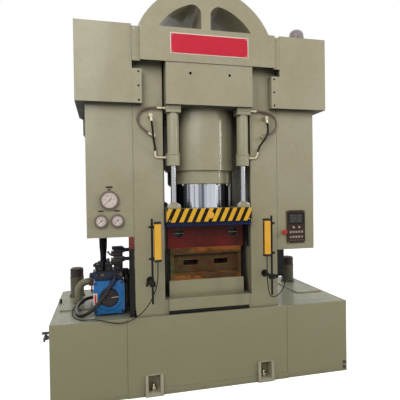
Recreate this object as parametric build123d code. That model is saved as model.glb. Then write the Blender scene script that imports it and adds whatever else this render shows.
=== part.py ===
from build123d import *
import os
from math import radians, sqrt, tan

# Wire-wound hydraulic press in millimetres, +Z up, front towards -Y.
# The origin is on the floor below the middle of the base.

# Base: a centre box between two wing tanks
wing_width = 620
base_depth = 1200
base_height = 675
centre_margin = 76
plate = 20
floor_plate = 25
toe_height = 55
toe_step = 6
edge_break = 5

# Prestressed frame: two half-round yokes and two columns held by a wire winding
frame_half = 654
column_width = 256
frame_depth = 640
ledge = 35
foot_rise = 125
column_height = 2090
wire_thickness = 42
wire_recess = 3
wire_fit = 0.3
flange_thickness = 32
pit_gap = 6
window_rim = 151
mullion_half = 42
window_sill = 150
window_fillet = 80

# Bed between the columns
bed_gap = 50
bed_setback = 75
bed_height = 146
apron_gap = 31
apron_rise = 33
apron_thickness = 22
bolster_inset = 17
bolster_step = 23
bolster_height = 287
bolster_flange = 56
bolster_recess = 24
bolster_rim = 30
fork_slot_width = 138
fork_slot_height = 50
fork_slot_pitch = 284
fork_slot_rise = 151

# Slide, built up from the upper die
stroke = 190
die_gap = 0.3
die_overhang = 28
die_height = 206
pin_pocket_radius = 42
pin_pocket_depth = 36
pin_pocket_inset = 107
pin_pocket_drop = 70
lift_pin_radius = 7
slide_plate_height = 40
slide_beam_height = 112
slide_overhang = 50
rail_thickness = 12
rail_width = 50
rail_inset = 40
rail_length = 760
slide_clearance = 0.5
guard_height = 117
guard_thickness = 8

# Cylinder housing, main cylinder and ram
housing_gap = 14
housing_height = 417
housing_overhang = 119
lift_hole_radius = 12
lift_hole_depth = 60
lift_hole_inset = 210
lift_hole_drop = 152
cylinder_gap = 68
cylinder_length = 962
collar_step = 27
collar_height = 190
bore_gap = 10
cylinder_head = 100
seat_fit = 0.3
gland_wall = 28
gland_height = 121
cylinder_wall = 40
ram_fit = 0.05
ram_engagement = 690
gland_bolt_count = 16
gland_bolt_radius = 9
gland_bolt_height = 14

# Return cylinders, one near each corner of the housing
return_side_inset = 68
return_inset = 25
return_barrel_radius = 51
return_gland_radius = 58
return_length = 511
return_gland_height = 108
return_flange = 124
return_flange_height = 30
return_rod_radius = 23
return_piston_radius = 40
return_piston_height = 40
foot_width = 110
foot_height = 46

# Covers and tanks on top
header_inset = 65
header_gap = 3
header_drop = 63
header_rise = 222
header_proud = 127
sheet = 6
tank_width = 460
tank_drop = 410
tank_rise = 240
tank_proud = 80
tank_wall = 8
lug_reach = 79
lug_height = 285
lug_bolt_radius = 7.5
ledge_reach = 60
pipe_port_radius = 60
filler_inset = 243
filler_setback = 145
filler_radius = 68
filler_neck = 18
filler_height = 128

# Side cabinets, left one short and right one long
cabinet_width = 385
left_cabinet_height = 1120
right_cabinet_height = 1290
riser_gland_radius = 26
riser_gland_length = 26
door_thickness = 15
door_margin = 26
door_opening_margin = 40
hinge_radius = 8
hinge_pin_radius = 3
hinge_pin_fit = 0.05
hinge_length = 60
hinge_gap = 0.5

# Gauges on the left cabinet: distance from the tank's inner side, height above the cabinet's
# lower edge, bezel radius
gauge_places = {"main": (198, 314, 79), "left": (268, 139, 56), "right": (134, 140, 56)}
gauge_proud = 26
gauge_body_depth = 46
gauge_rim = 12
gauge_pocket = 16
glass_thickness = 3
glass_recess = 2
needle_thickness = 1.5
spindle_radius = 2.5
spindle_fit = 0.05

# Operator panel and emergency stop on the right cabinet
panel_inset = 183
panel_rise = 210
panel_width = 182
panel_height = 303
panel_thickness = 12
estop_inset = 60
estop_drop = 48
estop_radius = 23
estop_collar_radius = 20
estop_collar_depth = 14
estop_stem_radius = 8
estop_travel = 5
estop_fit = 0.1

# Light curtains on stands in front of the columns
curtain_inset = 83
curtain_proud = 165
curtain_width = 56
curtain_drop = 68
curtain_height = 328
curtain_cap = 9
pole_offset = 45
pole_radius = 9
pole_drop = 345
pole_rise = 26
clamp_insets = (25, 42)
arm_drop = 183

# Power pack on the left wing
motor_inset = 141
motor_half = 132
motor_feet = 15
motor_height = 284
motor_setback = 150
motor_length = 320
motor_cover_radius = 74
pump_radius = 86
pump_length = 210
suction_offset = 279
suction_back = 130
suction_rise = 58
suction_radius = 34
suction_bend = 90
manifold_half = 120
manifold_depth = 200
line_radius = 17
manifold_height = 82
duct_size = 40
short_duct_width = 60
short_duct_drop = 246

# Tank covers, filters and small fittings
cover_width = 275
cover_margin = 45
cover_front_margin = 385
cover_back_margin = 40
cover_thickness = 12
filter_inset = 170
filter_setback = 290
filter_radius = 68
filter_height = 300
filter_cap_height = 92
anchor_inset = 221
anchor_width = 153
anchor_height = 182
anchor_opening = 104
anchor_sole = 30
anchor_depth = 150
anchor_proud = 25
anchor_stud_radius = 15
anchor_nut_width = 46
valve_setback = 60
valve_drop = 113
plug_inset = 28
plug_heights = (38, 86)
deck_plug_inset = 26
deck_plug_setback = 350

drain_radius = 20
drain_outset = 21
drain_setback = 30
drain_drop = 179
drain_reach = 76
drain_bend = 26

# Hoses and cables
hose_diameter = 18
hose_ferrule_radius = 12
hose_pipe_radius = 9
banjo_radius = 16
port_boss_reach = 66
port_height = 74
cable_diameter = 8
cable_gland_radius = 9
cable_gland_length = 14
pump_hose_diameter = 32
riser_diameter = 36

# Worked-out places: base
centre_half = frame_half + centre_margin
base_half = centre_half + wing_width
base_front = -base_depth / 2
base_back = base_depth / 2

# Frame
frame_front = base_front + ledge
frame_back = frame_front + frame_depth
frame_mid = (frame_front + frame_back) / 2
wire_bed = frame_half - wire_thickness
daylight_half = frame_half - column_width
foot_z = base_height + foot_rise
spring_z = foot_z + column_height
window_radius = frame_half - window_rim

# Bed
bed_half = daylight_half - bed_gap
bed_depth = frame_depth - 2 * bed_setback
bed_top = foot_z + bed_height
apron_half = daylight_half - apron_gap
apron_low = base_height + apron_rise
bolster_half = bed_half - bolster_inset
bolster_depth = bed_depth - 2 * bolster_step
bolster_top = bed_top + bolster_height
fork_slot_z = bed_top + fork_slot_rise

# Slide
die_half = bolster_half + die_overhang
pin_pocket_spread = die_half - pin_pocket_inset
die_low = bolster_top + die_gap
die_top = die_low + die_height
plate_top = die_top + slide_plate_height
slide_top = plate_top + slide_beam_height
slide_half = daylight_half - rail_thickness - slide_clearance
slide_front = frame_front - slide_overhang
slide_back = 2 * frame_mid - slide_front
guard_half = slide_half - slide_clearance

# Cylinders
housing_half = daylight_half - housing_gap
housing_low = spring_z - housing_height
lift_hole_spread = housing_half - lift_hole_inset
lift_hole_z = spring_z - lift_hole_drop
cylinder_radius = daylight_half - cylinder_gap
cylinder_low = spring_z - cylinder_length
collar_radius = cylinder_radius + collar_step
ram_radius = cylinder_radius - cylinder_wall - bore_gap
gland_radius = ram_radius + gland_wall
gland_low = cylinder_low - gland_height
housing_front = frame_front - housing_overhang
housing_back = 2 * frame_mid - housing_front
return_x = housing_half - return_side_inset
return_y = frame_front - return_inset
return_gland_low = housing_low - return_length

# Covers and tanks on top
tank_inner = frame_half + pit_gap
tank_outer = tank_inner + tank_width
tank_low = spring_z - tank_drop
tank_high = spring_z + tank_rise
tank_front = frame_front - tank_proud
tank_back = 2 * frame_mid - tank_front
header_half = tank_inner - header_inset
header_reach = tank_inner - header_gap
header_low = spring_z - header_drop
header_high = spring_z + header_rise
header_front = frame_front - header_proud
lug_inner = tank_inner - lug_reach
lug_high = tank_low + lug_height
ledge_inner = tank_inner - ledge_reach
filler_x = tank_inner + filler_inset
filler_y = tank_front + filler_setback

# Cabinets
cabinet_outer = tank_inner + cabinet_width
left_cabinet_low = tank_low - left_cabinet_height
right_cabinet_low = tank_low - right_cabinet_height
panel_x = tank_inner + panel_inset
panel_z = right_cabinet_low + panel_rise
estop_x = tank_inner + estop_inset
estop_z = panel_z - estop_drop
panel_face = frame_front

# Light curtains
curtain_x = daylight_half + curtain_inset
curtain_y = frame_front - curtain_proud
curtain_low = bolster_top - curtain_drop
curtain_high = curtain_low + curtain_height
pole_x = curtain_x + pole_offset
pole_low = curtain_low - pole_drop
pole_high = curtain_high + pole_rise
clamp_heights = (curtain_low + clamp_insets[0], curtain_high - clamp_insets[1])
arm_z = curtain_low - arm_drop

# Power pack
motor_x = -centre_half - motor_inset
motor_low = base_height + motor_feet
motor_high = motor_low + motor_height
motor_front = base_front + motor_setback
motor_back = motor_front + motor_length
motor_mid_z = (motor_low + motor_high) / 2
suction_x = motor_x - suction_offset
suction_y = motor_back + suction_back
suction_z = motor_mid_z + suction_rise
manifold_high = motor_high + manifold_height

# Tank covers and small fittings
cover_outer = base_half - cover_margin
cover_inner = cover_outer - cover_width
cover_front = base_front + cover_front_margin
cover_back = base_back - cover_back_margin
filter_x = base_half - filter_inset
filter_y = base_back - filter_setback
filter_high = base_height + filter_height
anchor_x = centre_half - anchor_inset
valve_y = base_front + valve_setback
valve_z = base_height - valve_drop
plug_x = base_half - plug_inset


def block(x0, x1, y0, y1, z0, z1):
    """Box between two corners."""
    return Pos((x0 + x1) / 2, (y0 + y1) / 2, (z0 + z1) / 2) * Box(x1 - x0, y1 - y0, z1 - z0)


def bar_x(radius, x0, x1, y, z):
    """Round bar along X."""
    return Pos((x0 + x1) / 2, y, z) * Rot(0, 90, 0) * Cylinder(radius, x1 - x0)


def bar_y(radius, y0, y1, x, z):
    """Round bar along Y."""
    return Pos(x, (y0 + y1) / 2, z) * Rot(90, 0, 0) * Cylinder(radius, y1 - y0)


def bar_z(radius, z0, z1, x, y):
    """Round bar along Z."""
    return Pos(x, y, (z0 + z1) / 2) * Cylinder(radius, z1 - z0)


def hexagon_z(across, z0, z1, x, y):
    """Hexagonal bar along Z, given its width across the flats."""
    return Pos(x, y, z0) * extrude(RegularPolygon(across / sqrt(3), 6), z1 - z0)


def prism_y(outline, y0, y1):
    """Outline drawn in X and Z, extruded from y0 to y1."""
    return extrude(Plane.XZ.offset(-y1) * outline, amount=y1 - y0)


def other_side(shape):
    """The same shape on the other side of the press."""
    return mirror(shape, about=Plane.YZ)


def behind(shape):
    """The same shape at the back of the frame."""
    return mirror(shape, about=Plane((0, frame_mid, 0), z_dir=(0, 1, 0)))


def four_corners(shape):
    """The shape at the front right, and its copies at the other corners of the frame."""
    return [shape, other_side(shape), behind(shape), other_side(behind(shape))]


def write(name, *shapes):
    """Write one node, as a single solid or as a group of separate solids."""
    solids = [solid for shape in shapes for solid in shape.solids()]
    export_step(solids[0] if len(solids) == 1 else Compound(children=solids), f"parts/{name}.step")


# Base

def anchor_pocket():
    """Room that one anchor bracket takes in the right front of the base."""
    return block(anchor_x - anchor_width / 2 - seat_fit, anchor_x + anchor_width / 2 + seat_fit,
                 base_front - toe_step - 1, base_front - anchor_proud + anchor_depth + seat_fit,
                 -1, anchor_height + seat_fit)


def base_corners(shape):
    """The shape at the right front of the base, and its copies at the other corners."""
    rear = mirror(shape, about=Plane.XZ)
    return [shape, other_side(shape), rear, other_side(rear)]


def base_centre():
    body = block(-centre_half, centre_half, base_front, base_back, 0, base_height)
    body += block(-centre_half, centre_half, base_front - toe_step, base_back + toe_step, 0, toe_height)
    body -= block(-centre_half + plate, centre_half - plate, base_front + plate, base_back - plate,
                  floor_plate, base_height - plate)
    body -= block(-frame_half - pit_gap, frame_half + pit_gap, frame_front - pit_gap, frame_back + pit_gap,
                  base_height - plate - 1, base_height + 1)
    body -= block(-apron_half, apron_half, base_front + plate - 1, frame_front,
                  base_height - plate - 1, base_height + 1)
    yoke_hole = bar_y(frame_half + wire_fit, base_front, base_back, 0, foot_z)
    cradle_half = 0.75 * frame_half
    cradle_top = foot_z - sqrt(frame_half ** 2 - cradle_half ** 2)
    for y in (frame_front, frame_back - flange_thickness):
        rib = block(-cradle_half, cradle_half, y, y + flange_thickness, floor_plate, cradle_top)
        body += rib - yoke_hole
    for pocket in base_corners(anchor_pocket()):
        body -= pocket
    return body


def wing_tank():
    """Right wing tank; its deck is open below the cover plate."""
    body = block(centre_half, base_half, base_front, base_back, 0, base_height)
    outer_edges = body.edges().filter_by(Axis.Z).group_by(Axis.X)[-1]
    body = fillet(outer_edges, edge_break)
    top_edges = body.edges().group_by(Axis.Z)[-1].group_by(Axis.X)[-1]
    body = chamfer(top_edges, edge_break / 2)
    body -= block(centre_half + plate, base_half - plate, base_front + plate, base_back - plate,
                  plate, base_height - plate)
    margin = 2 * plate
    body -= block(cover_inner + margin, cover_outer - margin, cover_front + margin, cover_back - margin,
                  base_height - plate - 1, base_height + 1)
    return body


def deck_cover():
    body = block(cover_inner, cover_outer, cover_front, cover_back, base_height, base_height + cover_thickness)
    return chamfer(body.faces().sort_by(Axis.Z)[-1].edges(), cover_thickness / 4)


def anchor_bracket():
    """Open-fronted pocket that takes one foundation bolt."""
    front = base_front - anchor_proud
    body = block(anchor_x - anchor_width / 2, anchor_x + anchor_width / 2, front, front + anchor_depth,
                 0, anchor_height)
    wall = (anchor_width - anchor_opening) / 2
    body -= block(anchor_x - anchor_opening / 2, anchor_x + anchor_opening / 2, front - 1,
                  front + anchor_depth - wall, anchor_sole, anchor_height + 1)
    body += block(anchor_x - anchor_width / 2, anchor_x + anchor_width / 2, front + anchor_proud,
                  front + anchor_depth, anchor_height - wall / 3, anchor_height)
    return body - bar_z(anchor_stud_radius + 2, -1, anchor_sole + 1, anchor_x, front + anchor_depth / 2)


def anchor_bolt():
    """Foundation stud with its washer and nut, as one solid of tightened steel."""
    y = base_front - anchor_proud + anchor_depth / 2
    stud = bar_z(anchor_stud_radius, 1, anchor_sole + 55, anchor_x, y)
    washer = bar_z(2 * anchor_stud_radius, anchor_sole, anchor_sole + 6, anchor_x, y)
    nut = hexagon_z(anchor_nut_width, anchor_sole + 6, anchor_sole + 30, anchor_x, y)
    return stud + washer + nut


# Frame

def column():
    body = block(daylight_half, frame_half, frame_front, frame_back, foot_z, spring_z)
    inner_edges = body.edges().filter_by(Axis.Z).group_by(Axis.X)[0]
    body = fillet(inner_edges, edge_break)
    return body - block(wire_bed, frame_half + 1, frame_front + flange_thickness,
                        frame_back - flange_thickness, foot_z - 1, spring_z + 1)


def half_yoke(flat_z, upwards):
    """Half-round yoke whose rim is grooved for the winding."""
    body = bar_y(frame_half, frame_front, frame_back, 0, flat_z)
    groove = bar_y(frame_half + 1, frame_front + flange_thickness, frame_back - flange_thickness, 0, flat_z)
    groove -= bar_y(wire_bed, frame_front, frame_back, 0, flat_z)
    keep_low = flat_z if upwards else flat_z - frame_half - 2
    keep = block(-frame_half - 2, frame_half + 2, frame_front - 1, frame_back + 1,
                 keep_low, keep_low + frame_half + 2)
    return (body - groove) & keep


def yoke_window():
    """D-shaped lightening window on the right of the mullion."""
    size = 2 * window_radius
    corner = Pos(mullion_half + size / 2, window_sill + size / 2) * Rectangle(size, size)
    outline = Circle(window_radius) & corner
    outline = fillet(outline.vertices(), window_fillet)
    return prism_y(Pos(0, spring_z) * outline, frame_front - 1, frame_back + 1)


def upper_yoke():
    window = yoke_window()
    return half_yoke(spring_z, True) - window - other_side(window)


def racetrack(radius, y0, y1):
    """Racetrack disc round both yokes."""
    outline = SlotCenterToCenter(spring_z - foot_z, 2 * radius, rotation=90)
    return prism_y(Pos(0, (foot_z + spring_z) / 2) * outline, y0, y1)


def wire_winding():
    low, high = frame_front + flange_thickness + wire_fit, frame_back - flange_thickness - wire_fit
    inner = racetrack(wire_bed + wire_fit, low - 1, high + 1)
    return racetrack(frame_half - wire_recess, low, high) - inner


def guide_rail():
    """Guide strip on the right column, near its front."""
    front = frame_front + rail_inset
    low = bolster_top
    return block(daylight_half - rail_thickness, daylight_half, front, front + rail_width,
                 low, low + rail_length)


# Bed and lower bolster

def bed_block():
    half = bed_depth / 2
    body = block(-bed_half, bed_half, frame_mid - half, frame_mid + half, foot_z, bed_top)
    return chamfer(body.faces().sort_by(Axis.Z)[-1].edges(), edge_break)


def apron_plate():
    body = block(-apron_half, apron_half, frame_front - apron_thickness, frame_front, apron_low, foot_z + 8)
    return chamfer(body.faces().sort_by(Axis.Y)[0].edges(), edge_break / 2)


def lower_bolster():
    """Cast bolster with a recessed web on each long side and two fork slots through it."""
    half = bolster_depth / 2
    front, back = frame_mid - half, frame_mid + half
    body = block(-bolster_half, bolster_half, front, back, bed_top, bolster_top)
    web_low, web_high = bed_top + bolster_flange, bolster_top - bolster_flange
    recess = block(-bolster_half + bolster_rim, bolster_half - bolster_rim, front - 1,
                   front + bolster_recess, web_low, web_high)
    recess = fillet(recess.edges().filter_by(Axis.Y), bolster_rim / 3)
    body = body - recess - behind(recess)
    for x in (-fork_slot_pitch / 2, fork_slot_pitch / 2):
        body -= block(x - fork_slot_width / 2, x + fork_slot_width / 2, front - 1, back + 1,
                      fork_slot_z - fork_slot_height / 2, fork_slot_z + fork_slot_height / 2)
    return body


# Slide

def upper_die():
    half = bolster_depth / 2
    front, back = frame_mid - half, frame_mid + half
    body = block(-die_half, die_half, front, back, die_low, die_top)
    body = chamfer(body.edges().filter_by(Axis.Z), edge_break)
    z = die_top - pin_pocket_drop
    for x in (-pin_pocket_spread, pin_pocket_spread):
        body -= bar_y(pin_pocket_radius, front - 1, front + pin_pocket_depth, x, z)
        body += bar_x(lift_pin_radius, x - pin_pocket_radius - 1, x + pin_pocket_radius + 1,
                      front + pin_pocket_depth / 2, z)
    return body


def slide_plate():
    body = block(-slide_half, slide_half, slide_front + 8, slide_back - 8, die_top, plate_top)
    return chamfer(body.faces().sort_by(Axis.Y)[0].edges(), edge_break / 2)


def slide_beam():
    body = block(-slide_half, slide_half, slide_front, slide_back, plate_top, slide_top)
    return fillet(body.edges().filter_by(Axis.Z), edge_break)


def guard_plate():
    """Striped board on the front of the slide."""
    front = slide_front - guard_thickness
    body = block(-guard_half, guard_half, front, slide_front, slide_top - guard_height, slide_top)
    return chamfer(body.faces().sort_by(Axis.Y)[0].edges(), 1.5)


def ram():
    body = bar_z(ram_radius, slide_top, slide_top + ram_engagement + stroke, 0, frame_mid)
    return chamfer(body.faces().sort_by(Axis.Z)[-1].edges(), edge_break)


def return_rod():
    """Rod with its piston at the top and its clamped foot on the slide."""
    foot = block(return_x - foot_width / 2, return_x + foot_width / 2, return_y - return_rod_radius,
                 return_y + return_rod_radius, slide_top, slide_top + foot_height)
    foot = chamfer(foot.edges().filter_by(Axis.Y).group_by(Axis.Z)[-1], foot_height / 3)
    piston_low = return_gland_low + return_gland_height + edge_break
    rod = bar_z(return_rod_radius, slide_top + foot_height / 2, piston_low + 1, return_x, return_y)
    piston = bar_z(return_piston_radius, piston_low, piston_low + return_piston_height, return_x, return_y)
    return foot + rod + piston


# Cylinders

def cylinder_housing():
    body = block(-housing_half, housing_half, housing_front, housing_back, housing_low, spring_z)
    body = chamfer(body.edges().filter_by(Axis.Z), edge_break / 2)
    body -= bar_z(cylinder_radius + seat_fit, housing_low - 1, spring_z + 1, 0, frame_mid)
    body -= bar_z(collar_radius + seat_fit, spring_z - collar_height, spring_z + 1, 0, frame_mid)
    for x in (-lift_hole_spread, lift_hole_spread):
        body -= bar_y(lift_hole_radius, housing_front - 1, housing_front + lift_hole_depth, x, lift_hole_z)
    return body


def main_cylinder():
    """Barrel hung by its collar in the housing, bored for the ram."""
    body = bar_z(cylinder_radius, cylinder_low, spring_z, 0, frame_mid)
    body += bar_z(collar_radius, spring_z - collar_height, spring_z, 0, frame_mid)
    return body - bar_z(ram_radius + bore_gap, cylinder_low - 1, spring_z - cylinder_head, 0, frame_mid)


def gland_ring():
    body = bar_z(gland_radius, gland_low, cylinder_low, 0, frame_mid)
    body = chamfer(body.faces().sort_by(Axis.Z)[0].edges(), edge_break)
    return body - bar_z(ram_radius + ram_fit, gland_low - 1, cylinder_low + 1, 0, frame_mid)


def return_cylinder():
    body = bar_z(return_barrel_radius, return_gland_low, housing_low, return_x, return_y)
    body += bar_z(return_gland_radius, return_gland_low, return_gland_low + return_gland_height,
                  return_x, return_y)
    half = return_flange / 2
    body += block(return_x - half, return_x + half, return_y - half, return_y + half,
                  housing_low - return_flange_height, housing_low)
    body += bar_x(banjo_radius, return_x, return_x + port_boss_reach, return_y, return_gland_low + port_height)
    bore_low = return_gland_low + return_gland_height
    bore_high = housing_low - return_flange_height
    body -= bar_z(return_piston_radius + ram_fit, bore_low, bore_high, return_x, return_y)
    return body - bar_z(return_rod_radius + ram_fit, return_gland_low - 1, bore_low + 1, return_x, return_y)


# Covers and tanks on top

def header_cover():
    """Folded front cover that bridges the two top tanks."""
    body = block(-header_half, header_half, header_front, frame_front, header_low, header_high)
    body -= block(-header_half + sheet, header_half - sheet, header_front + sheet, frame_front + 1,
                  header_low - 1, header_high - sheet)
    body -= block(-header_half - 1, header_half + 1, tank_front, frame_front + 1, header_low - 1,
                  header_high - sheet)
    for x0, x1 in ((-header_reach, -header_half + sheet), (header_half - sheet, header_reach)):
        body += block(x0, x1, tank_front - sheet, tank_front, header_low, header_high)
    return body


def header_screw_places():
    """Screw positions in the right flange of the header cover."""
    return [(header_reach - 14, z) for z in (header_low + 22, header_high - 22)]


def lug_bolt_places():
    """Counterbored bolt positions in the lug of the right tank."""
    middle = (tank_low + lug_high) / 2
    return [(lug_inner + 26, z) for z in (middle - 118, middle, middle + 118)]


def top_tank():
    """Right tank, with a lug bolted to the column and a ledge that carries the header flange."""
    body = block(tank_inner, tank_outer, tank_front, tank_back, tank_low, tank_high)
    body = fillet(body.edges().filter_by(Axis.Z), edge_break)
    lug = block(lug_inner, tank_inner + 1, tank_front, frame_front, tank_low, lug_high)
    for x, z in lug_bolt_places():
        lug -= bar_y(lug_bolt_radius + 1.5, tank_front - 1, frame_front - 30, x, z)
        lug -= bar_y(lug_bolt_radius - 2, tank_front - 1, frame_front + 1, x, z)
    ledge_plate = block(ledge_inner, tank_inner + 1, tank_front, tank_front + 2 * sheet, header_low, header_high)
    for x, z in header_screw_places():
        ledge_plate -= bar_y(3, tank_front - 1, tank_front + 3 * sheet, x, z)
    extras = lug + ledge_plate
    body = body + extras + behind(extras)
    body -= block(tank_inner + tank_wall, tank_outer - tank_wall, tank_front + tank_wall,
                  tank_back - tank_wall, tank_low + tank_wall, tank_high - tank_wall)
    port_z = tank_low + 2 * pipe_port_radius
    return body - bar_x(pipe_port_radius, tank_inner - 1, tank_inner + tank_wall + 1, frame_mid, port_z)


def right_top_tank():
    body = top_tank() + bar_z(filler_radius - 10, tank_high - 1, tank_high + filler_neck, filler_x, filler_y)
    return body - bar_z(filler_radius - 20, tank_high - tank_wall - 1, tank_high + filler_neck + 1,
                        filler_x, filler_y)


def filler_cap():
    """Domed breather cap that lifts off its neck."""
    low = tank_high + 1
    body = bar_z(filler_radius, low, low + filler_height, filler_x, filler_y)
    body = fillet(body.faces().sort_by(Axis.Z)[-1].edges(), filler_radius * 0.8)
    return body - bar_z(filler_radius - 10 + estop_fit, low - 1, tank_high + filler_neck + die_gap,
                        filler_x, filler_y)


def machine_screws():
    """Lug bolts, header screws and the ring of gland bolts, as one group of fasteners."""
    screws = []
    for x, z in lug_bolt_places():
        head = bar_y(lug_bolt_radius + 1, frame_front - 42, frame_front - 30, x, z)
        head -= bar_y(lug_bolt_radius / 2, frame_front - 43, frame_front - 36, x, z)
        shank = bar_y(lug_bolt_radius - 2.3, frame_front - 31, frame_front - 0.5, x, z)
        screws += four_corners(head + shank)
    for x, z in header_screw_places():
        head = bar_y(5, tank_front - sheet - 3, tank_front - sheet, x, z)
        screws += four_corners(head)
    bolt_circle = (gland_radius + ram_radius) / 2
    for place in PolarLocations(bolt_circle, gland_bolt_count):
        x, y = place.position.X, place.position.Y + frame_mid
        screws.append(bar_z(gland_bolt_radius, gland_low - gland_bolt_height, gland_low, x, y))
    return screws


# Side cabinets with door, gauges, panel and emergency stop

def cabinet(low, side):
    """Right-hand sheet cabinet, open towards the column."""
    body = block(tank_inner, side, frame_front, frame_back, low, tank_low)
    body = fillet(body.edges().filter_by(Axis.Z).group_by(Axis.X)[-1], edge_break)
    return body - block(tank_inner - 1, side - sheet, frame_front + sheet, frame_back - sheet,
                        low + sheet, tank_low - sheet)


def left_cabinet():
    body = other_side(cabinet(left_cabinet_low, cabinet_outer))
    for x, z, radius in gauges().values():
        body -= bar_y(radius - gauge_rim + seat_fit, frame_front - 1, frame_front + sheet + 1, x, z)
    for route in (front_riser_route(), rear_riser_route()):
        x, y, z = route[0]
        body += bar_z(riser_gland_radius, z, left_cabinet_low + 1, x, y)
    return body


def right_cabinet():
    side = cabinet_outer - door_thickness
    body = cabinet(right_cabinet_low, side)
    edge = door_margin + door_opening_margin
    body -= block(side - sheet - 1, side + 1, frame_front + edge, frame_back - edge,
                  right_cabinet_low + edge, tank_low - edge)
    for z in hinge_heights():
        body += fixed_knuckle(z)
    body -= bar_y(estop_stem_radius + estop_fit, frame_front - 1, frame_front + sheet + 1, estop_x, estop_z)
    half_w, half_h = panel_width / 2 - 10, panel_height / 2 - 10
    return body - block(panel_x - half_w, panel_x + half_w, frame_front - 1, frame_front + sheet + 1,
                        panel_z - half_h, panel_z + half_h)


def hinge_heights():
    """Middle heights of the two door hinges."""
    return [right_cabinet_low + 250, tank_low - 250]


def hinge_axis():
    """X and Y of the door's hinge axis."""
    return cabinet_outer + hinge_radius, frame_back - door_margin


def fixed_knuckle(z):
    """Lower half of one hinge with its pin, carried by a leaf on the cabinet."""
    x, y = hinge_axis()
    side = cabinet_outer - door_thickness
    low = z - hinge_length / 2
    barrel = bar_z(hinge_radius, low, z - hinge_gap / 2, x, y)
    leaf = block(side - 1, x, y + hinge_gap, y + hinge_radius, low, z - hinge_gap / 2)
    pin = bar_z(hinge_pin_radius, low, z + hinge_length / 2 - 2, x, y)
    return barrel + leaf + pin


def cabinet_door():
    """Side door of the right cabinet: a shallow pan with upper hinge halves and a lock barrel."""
    x, y = hinge_axis()
    side = cabinet_outer - door_thickness
    low, high = right_cabinet_low + door_margin, tank_low - door_margin
    front, back = frame_front + door_margin, y - hinge_gap
    body = block(side + die_gap, cabinet_outer, front, back, low, high)
    body = fillet(body.faces().sort_by(Axis.X)[-1].edges(), sheet / 2)
    body -= block(side - 1, cabinet_outer - sheet / 2, front + sheet, back - sheet, low + sheet, high - sheet)
    for z in hinge_heights():
        barrel = bar_z(hinge_radius, z + hinge_gap / 2, z + hinge_length / 2, x, y)
        body -= block(side - 1, x, y - 2 * hinge_radius, y + 1, z - hinge_length / 2 - 1, z + hinge_gap / 2)
        web = block(cabinet_outer - sheet / 2, x, y - 2 * hinge_radius, y, z + hinge_gap / 2, z + hinge_length / 2)
        body += barrel + web
        body -= bar_z(hinge_pin_radius + hinge_pin_fit, z - hinge_length, z + hinge_length / 2 - 1.5, x, y)
    return body + bar_x(11, cabinet_outer - sheet, cabinet_outer + 6, front + 40, (low + high) / 2)


def gauges():
    """Face x, face z and bezel radius of each gauge."""
    return {name: (-tank_inner - inset, left_cabinet_low + rise, radius)
            for name, (inset, rise, radius) in gauge_places.items()}


def gauge_case(x, z, radius):
    """Gauge case with its dial recess and the spindle of the needle."""
    front = frame_front - gauge_proud
    body = bar_y(radius, front, frame_front, x, z)
    body = fillet(body.faces().sort_by(Axis.Y)[0].edges(), gauge_rim / 3)
    body += bar_y(radius - gauge_rim, frame_front - 1, frame_front + gauge_body_depth, x, z)
    body -= bar_y(radius - gauge_rim, front - 1, front + gauge_pocket, x, z)
    return body + bar_y(spindle_radius, front + gauge_pocket / 2, front + gauge_pocket + 1, x, z)


def gauge_glass(x, z, radius):
    front = frame_front - gauge_proud + glass_recess
    return bar_y(radius - gauge_rim - seat_fit, front, front + glass_thickness, x, z)


def gauge_needle(x, z, radius):
    """Needle that points down to the left at rest, with its counterweight."""
    reach = radius - gauge_rim - 8
    tail = reach / 3
    hub = Circle(2.5 * spindle_radius)
    pointer = Pos(-reach / 2, 0) * Rectangle(reach, 3)
    weight = Pos(tail, 0) * Circle(5) + Pos(tail / 2, 0) * Rectangle(tail, 3)
    outline = Rot(0, 0, 45) * (hub + pointer + weight) - Circle(spindle_radius + spindle_fit)
    back = frame_front - gauge_proud + gauge_pocket - 2
    return prism_y(Pos(x, z) * outline, back - needle_thickness, back)


def operator_panel():
    """Panel bezel with its screen recess and two rows of raised keys."""
    front = frame_front - panel_thickness
    half_w, half_h = panel_width / 2, panel_height / 2
    body = block(panel_x - half_w, panel_x + half_w, front, frame_front, panel_z - half_h, panel_z + half_h)
    body = fillet(body.edges().filter_by(Axis.Y), 4)
    body += block(panel_x - half_w + 12, panel_x + half_w - 12, frame_front - 1, frame_front + 50,
                  panel_z - half_h + 12, panel_z + half_h - 12)
    body -= block(panel_x - 78, panel_x + 78, front - 1, front + 4, panel_z + 22, panel_z + 128)
    for row in (-50, -96):
        for step in range(5):
            x = panel_x + 31 * (step - 2)
            body += block(x - 10, x + 10, front - 2, front + 1, panel_z + row - 11, panel_z + row + 11)
    for x in (panel_x - 28, panel_x + 28):
        body += bar_y(12, front - 8, front + 1, x, panel_z - 9)
    return body


def estop_collar():
    body = bar_y(estop_collar_radius, frame_front - estop_collar_depth, frame_front, estop_x, estop_z)
    return body - bar_y(estop_stem_radius + estop_fit, frame_front - 40, frame_front + 1, estop_x, estop_z)


def estop_button():
    """Mushroom button on its stem."""
    back = frame_front - estop_collar_depth - estop_travel - 1
    head = bar_y(estop_radius, back - 18, back, estop_x, estop_z)
    head = fillet(head.faces().sort_by(Axis.Y)[0].edges(), 7)
    return head + bar_y(estop_stem_radius, back - 1, frame_front + 30, estop_x, estop_z)


# Light curtains and their stands

def light_curtain():
    half = curtain_width / 2
    body = block(curtain_x - half, curtain_x + half, curtain_y - half + 3, curtain_y + half - 3,
                 curtain_low + curtain_cap, curtain_high - curtain_cap)
    body = fillet(body.edges().filter_by(Axis.Z), 5)
    for z in (curtain_low, curtain_high - curtain_cap):
        body += block(curtain_x - half + 2, curtain_x + half - 2, curtain_y - half + 5, curtain_y + half - 5,
                      z, z + curtain_cap)
    return body + bar_z(8, curtain_low - cable_gland_length, curtain_low + 1, curtain_x, curtain_y)


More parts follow.
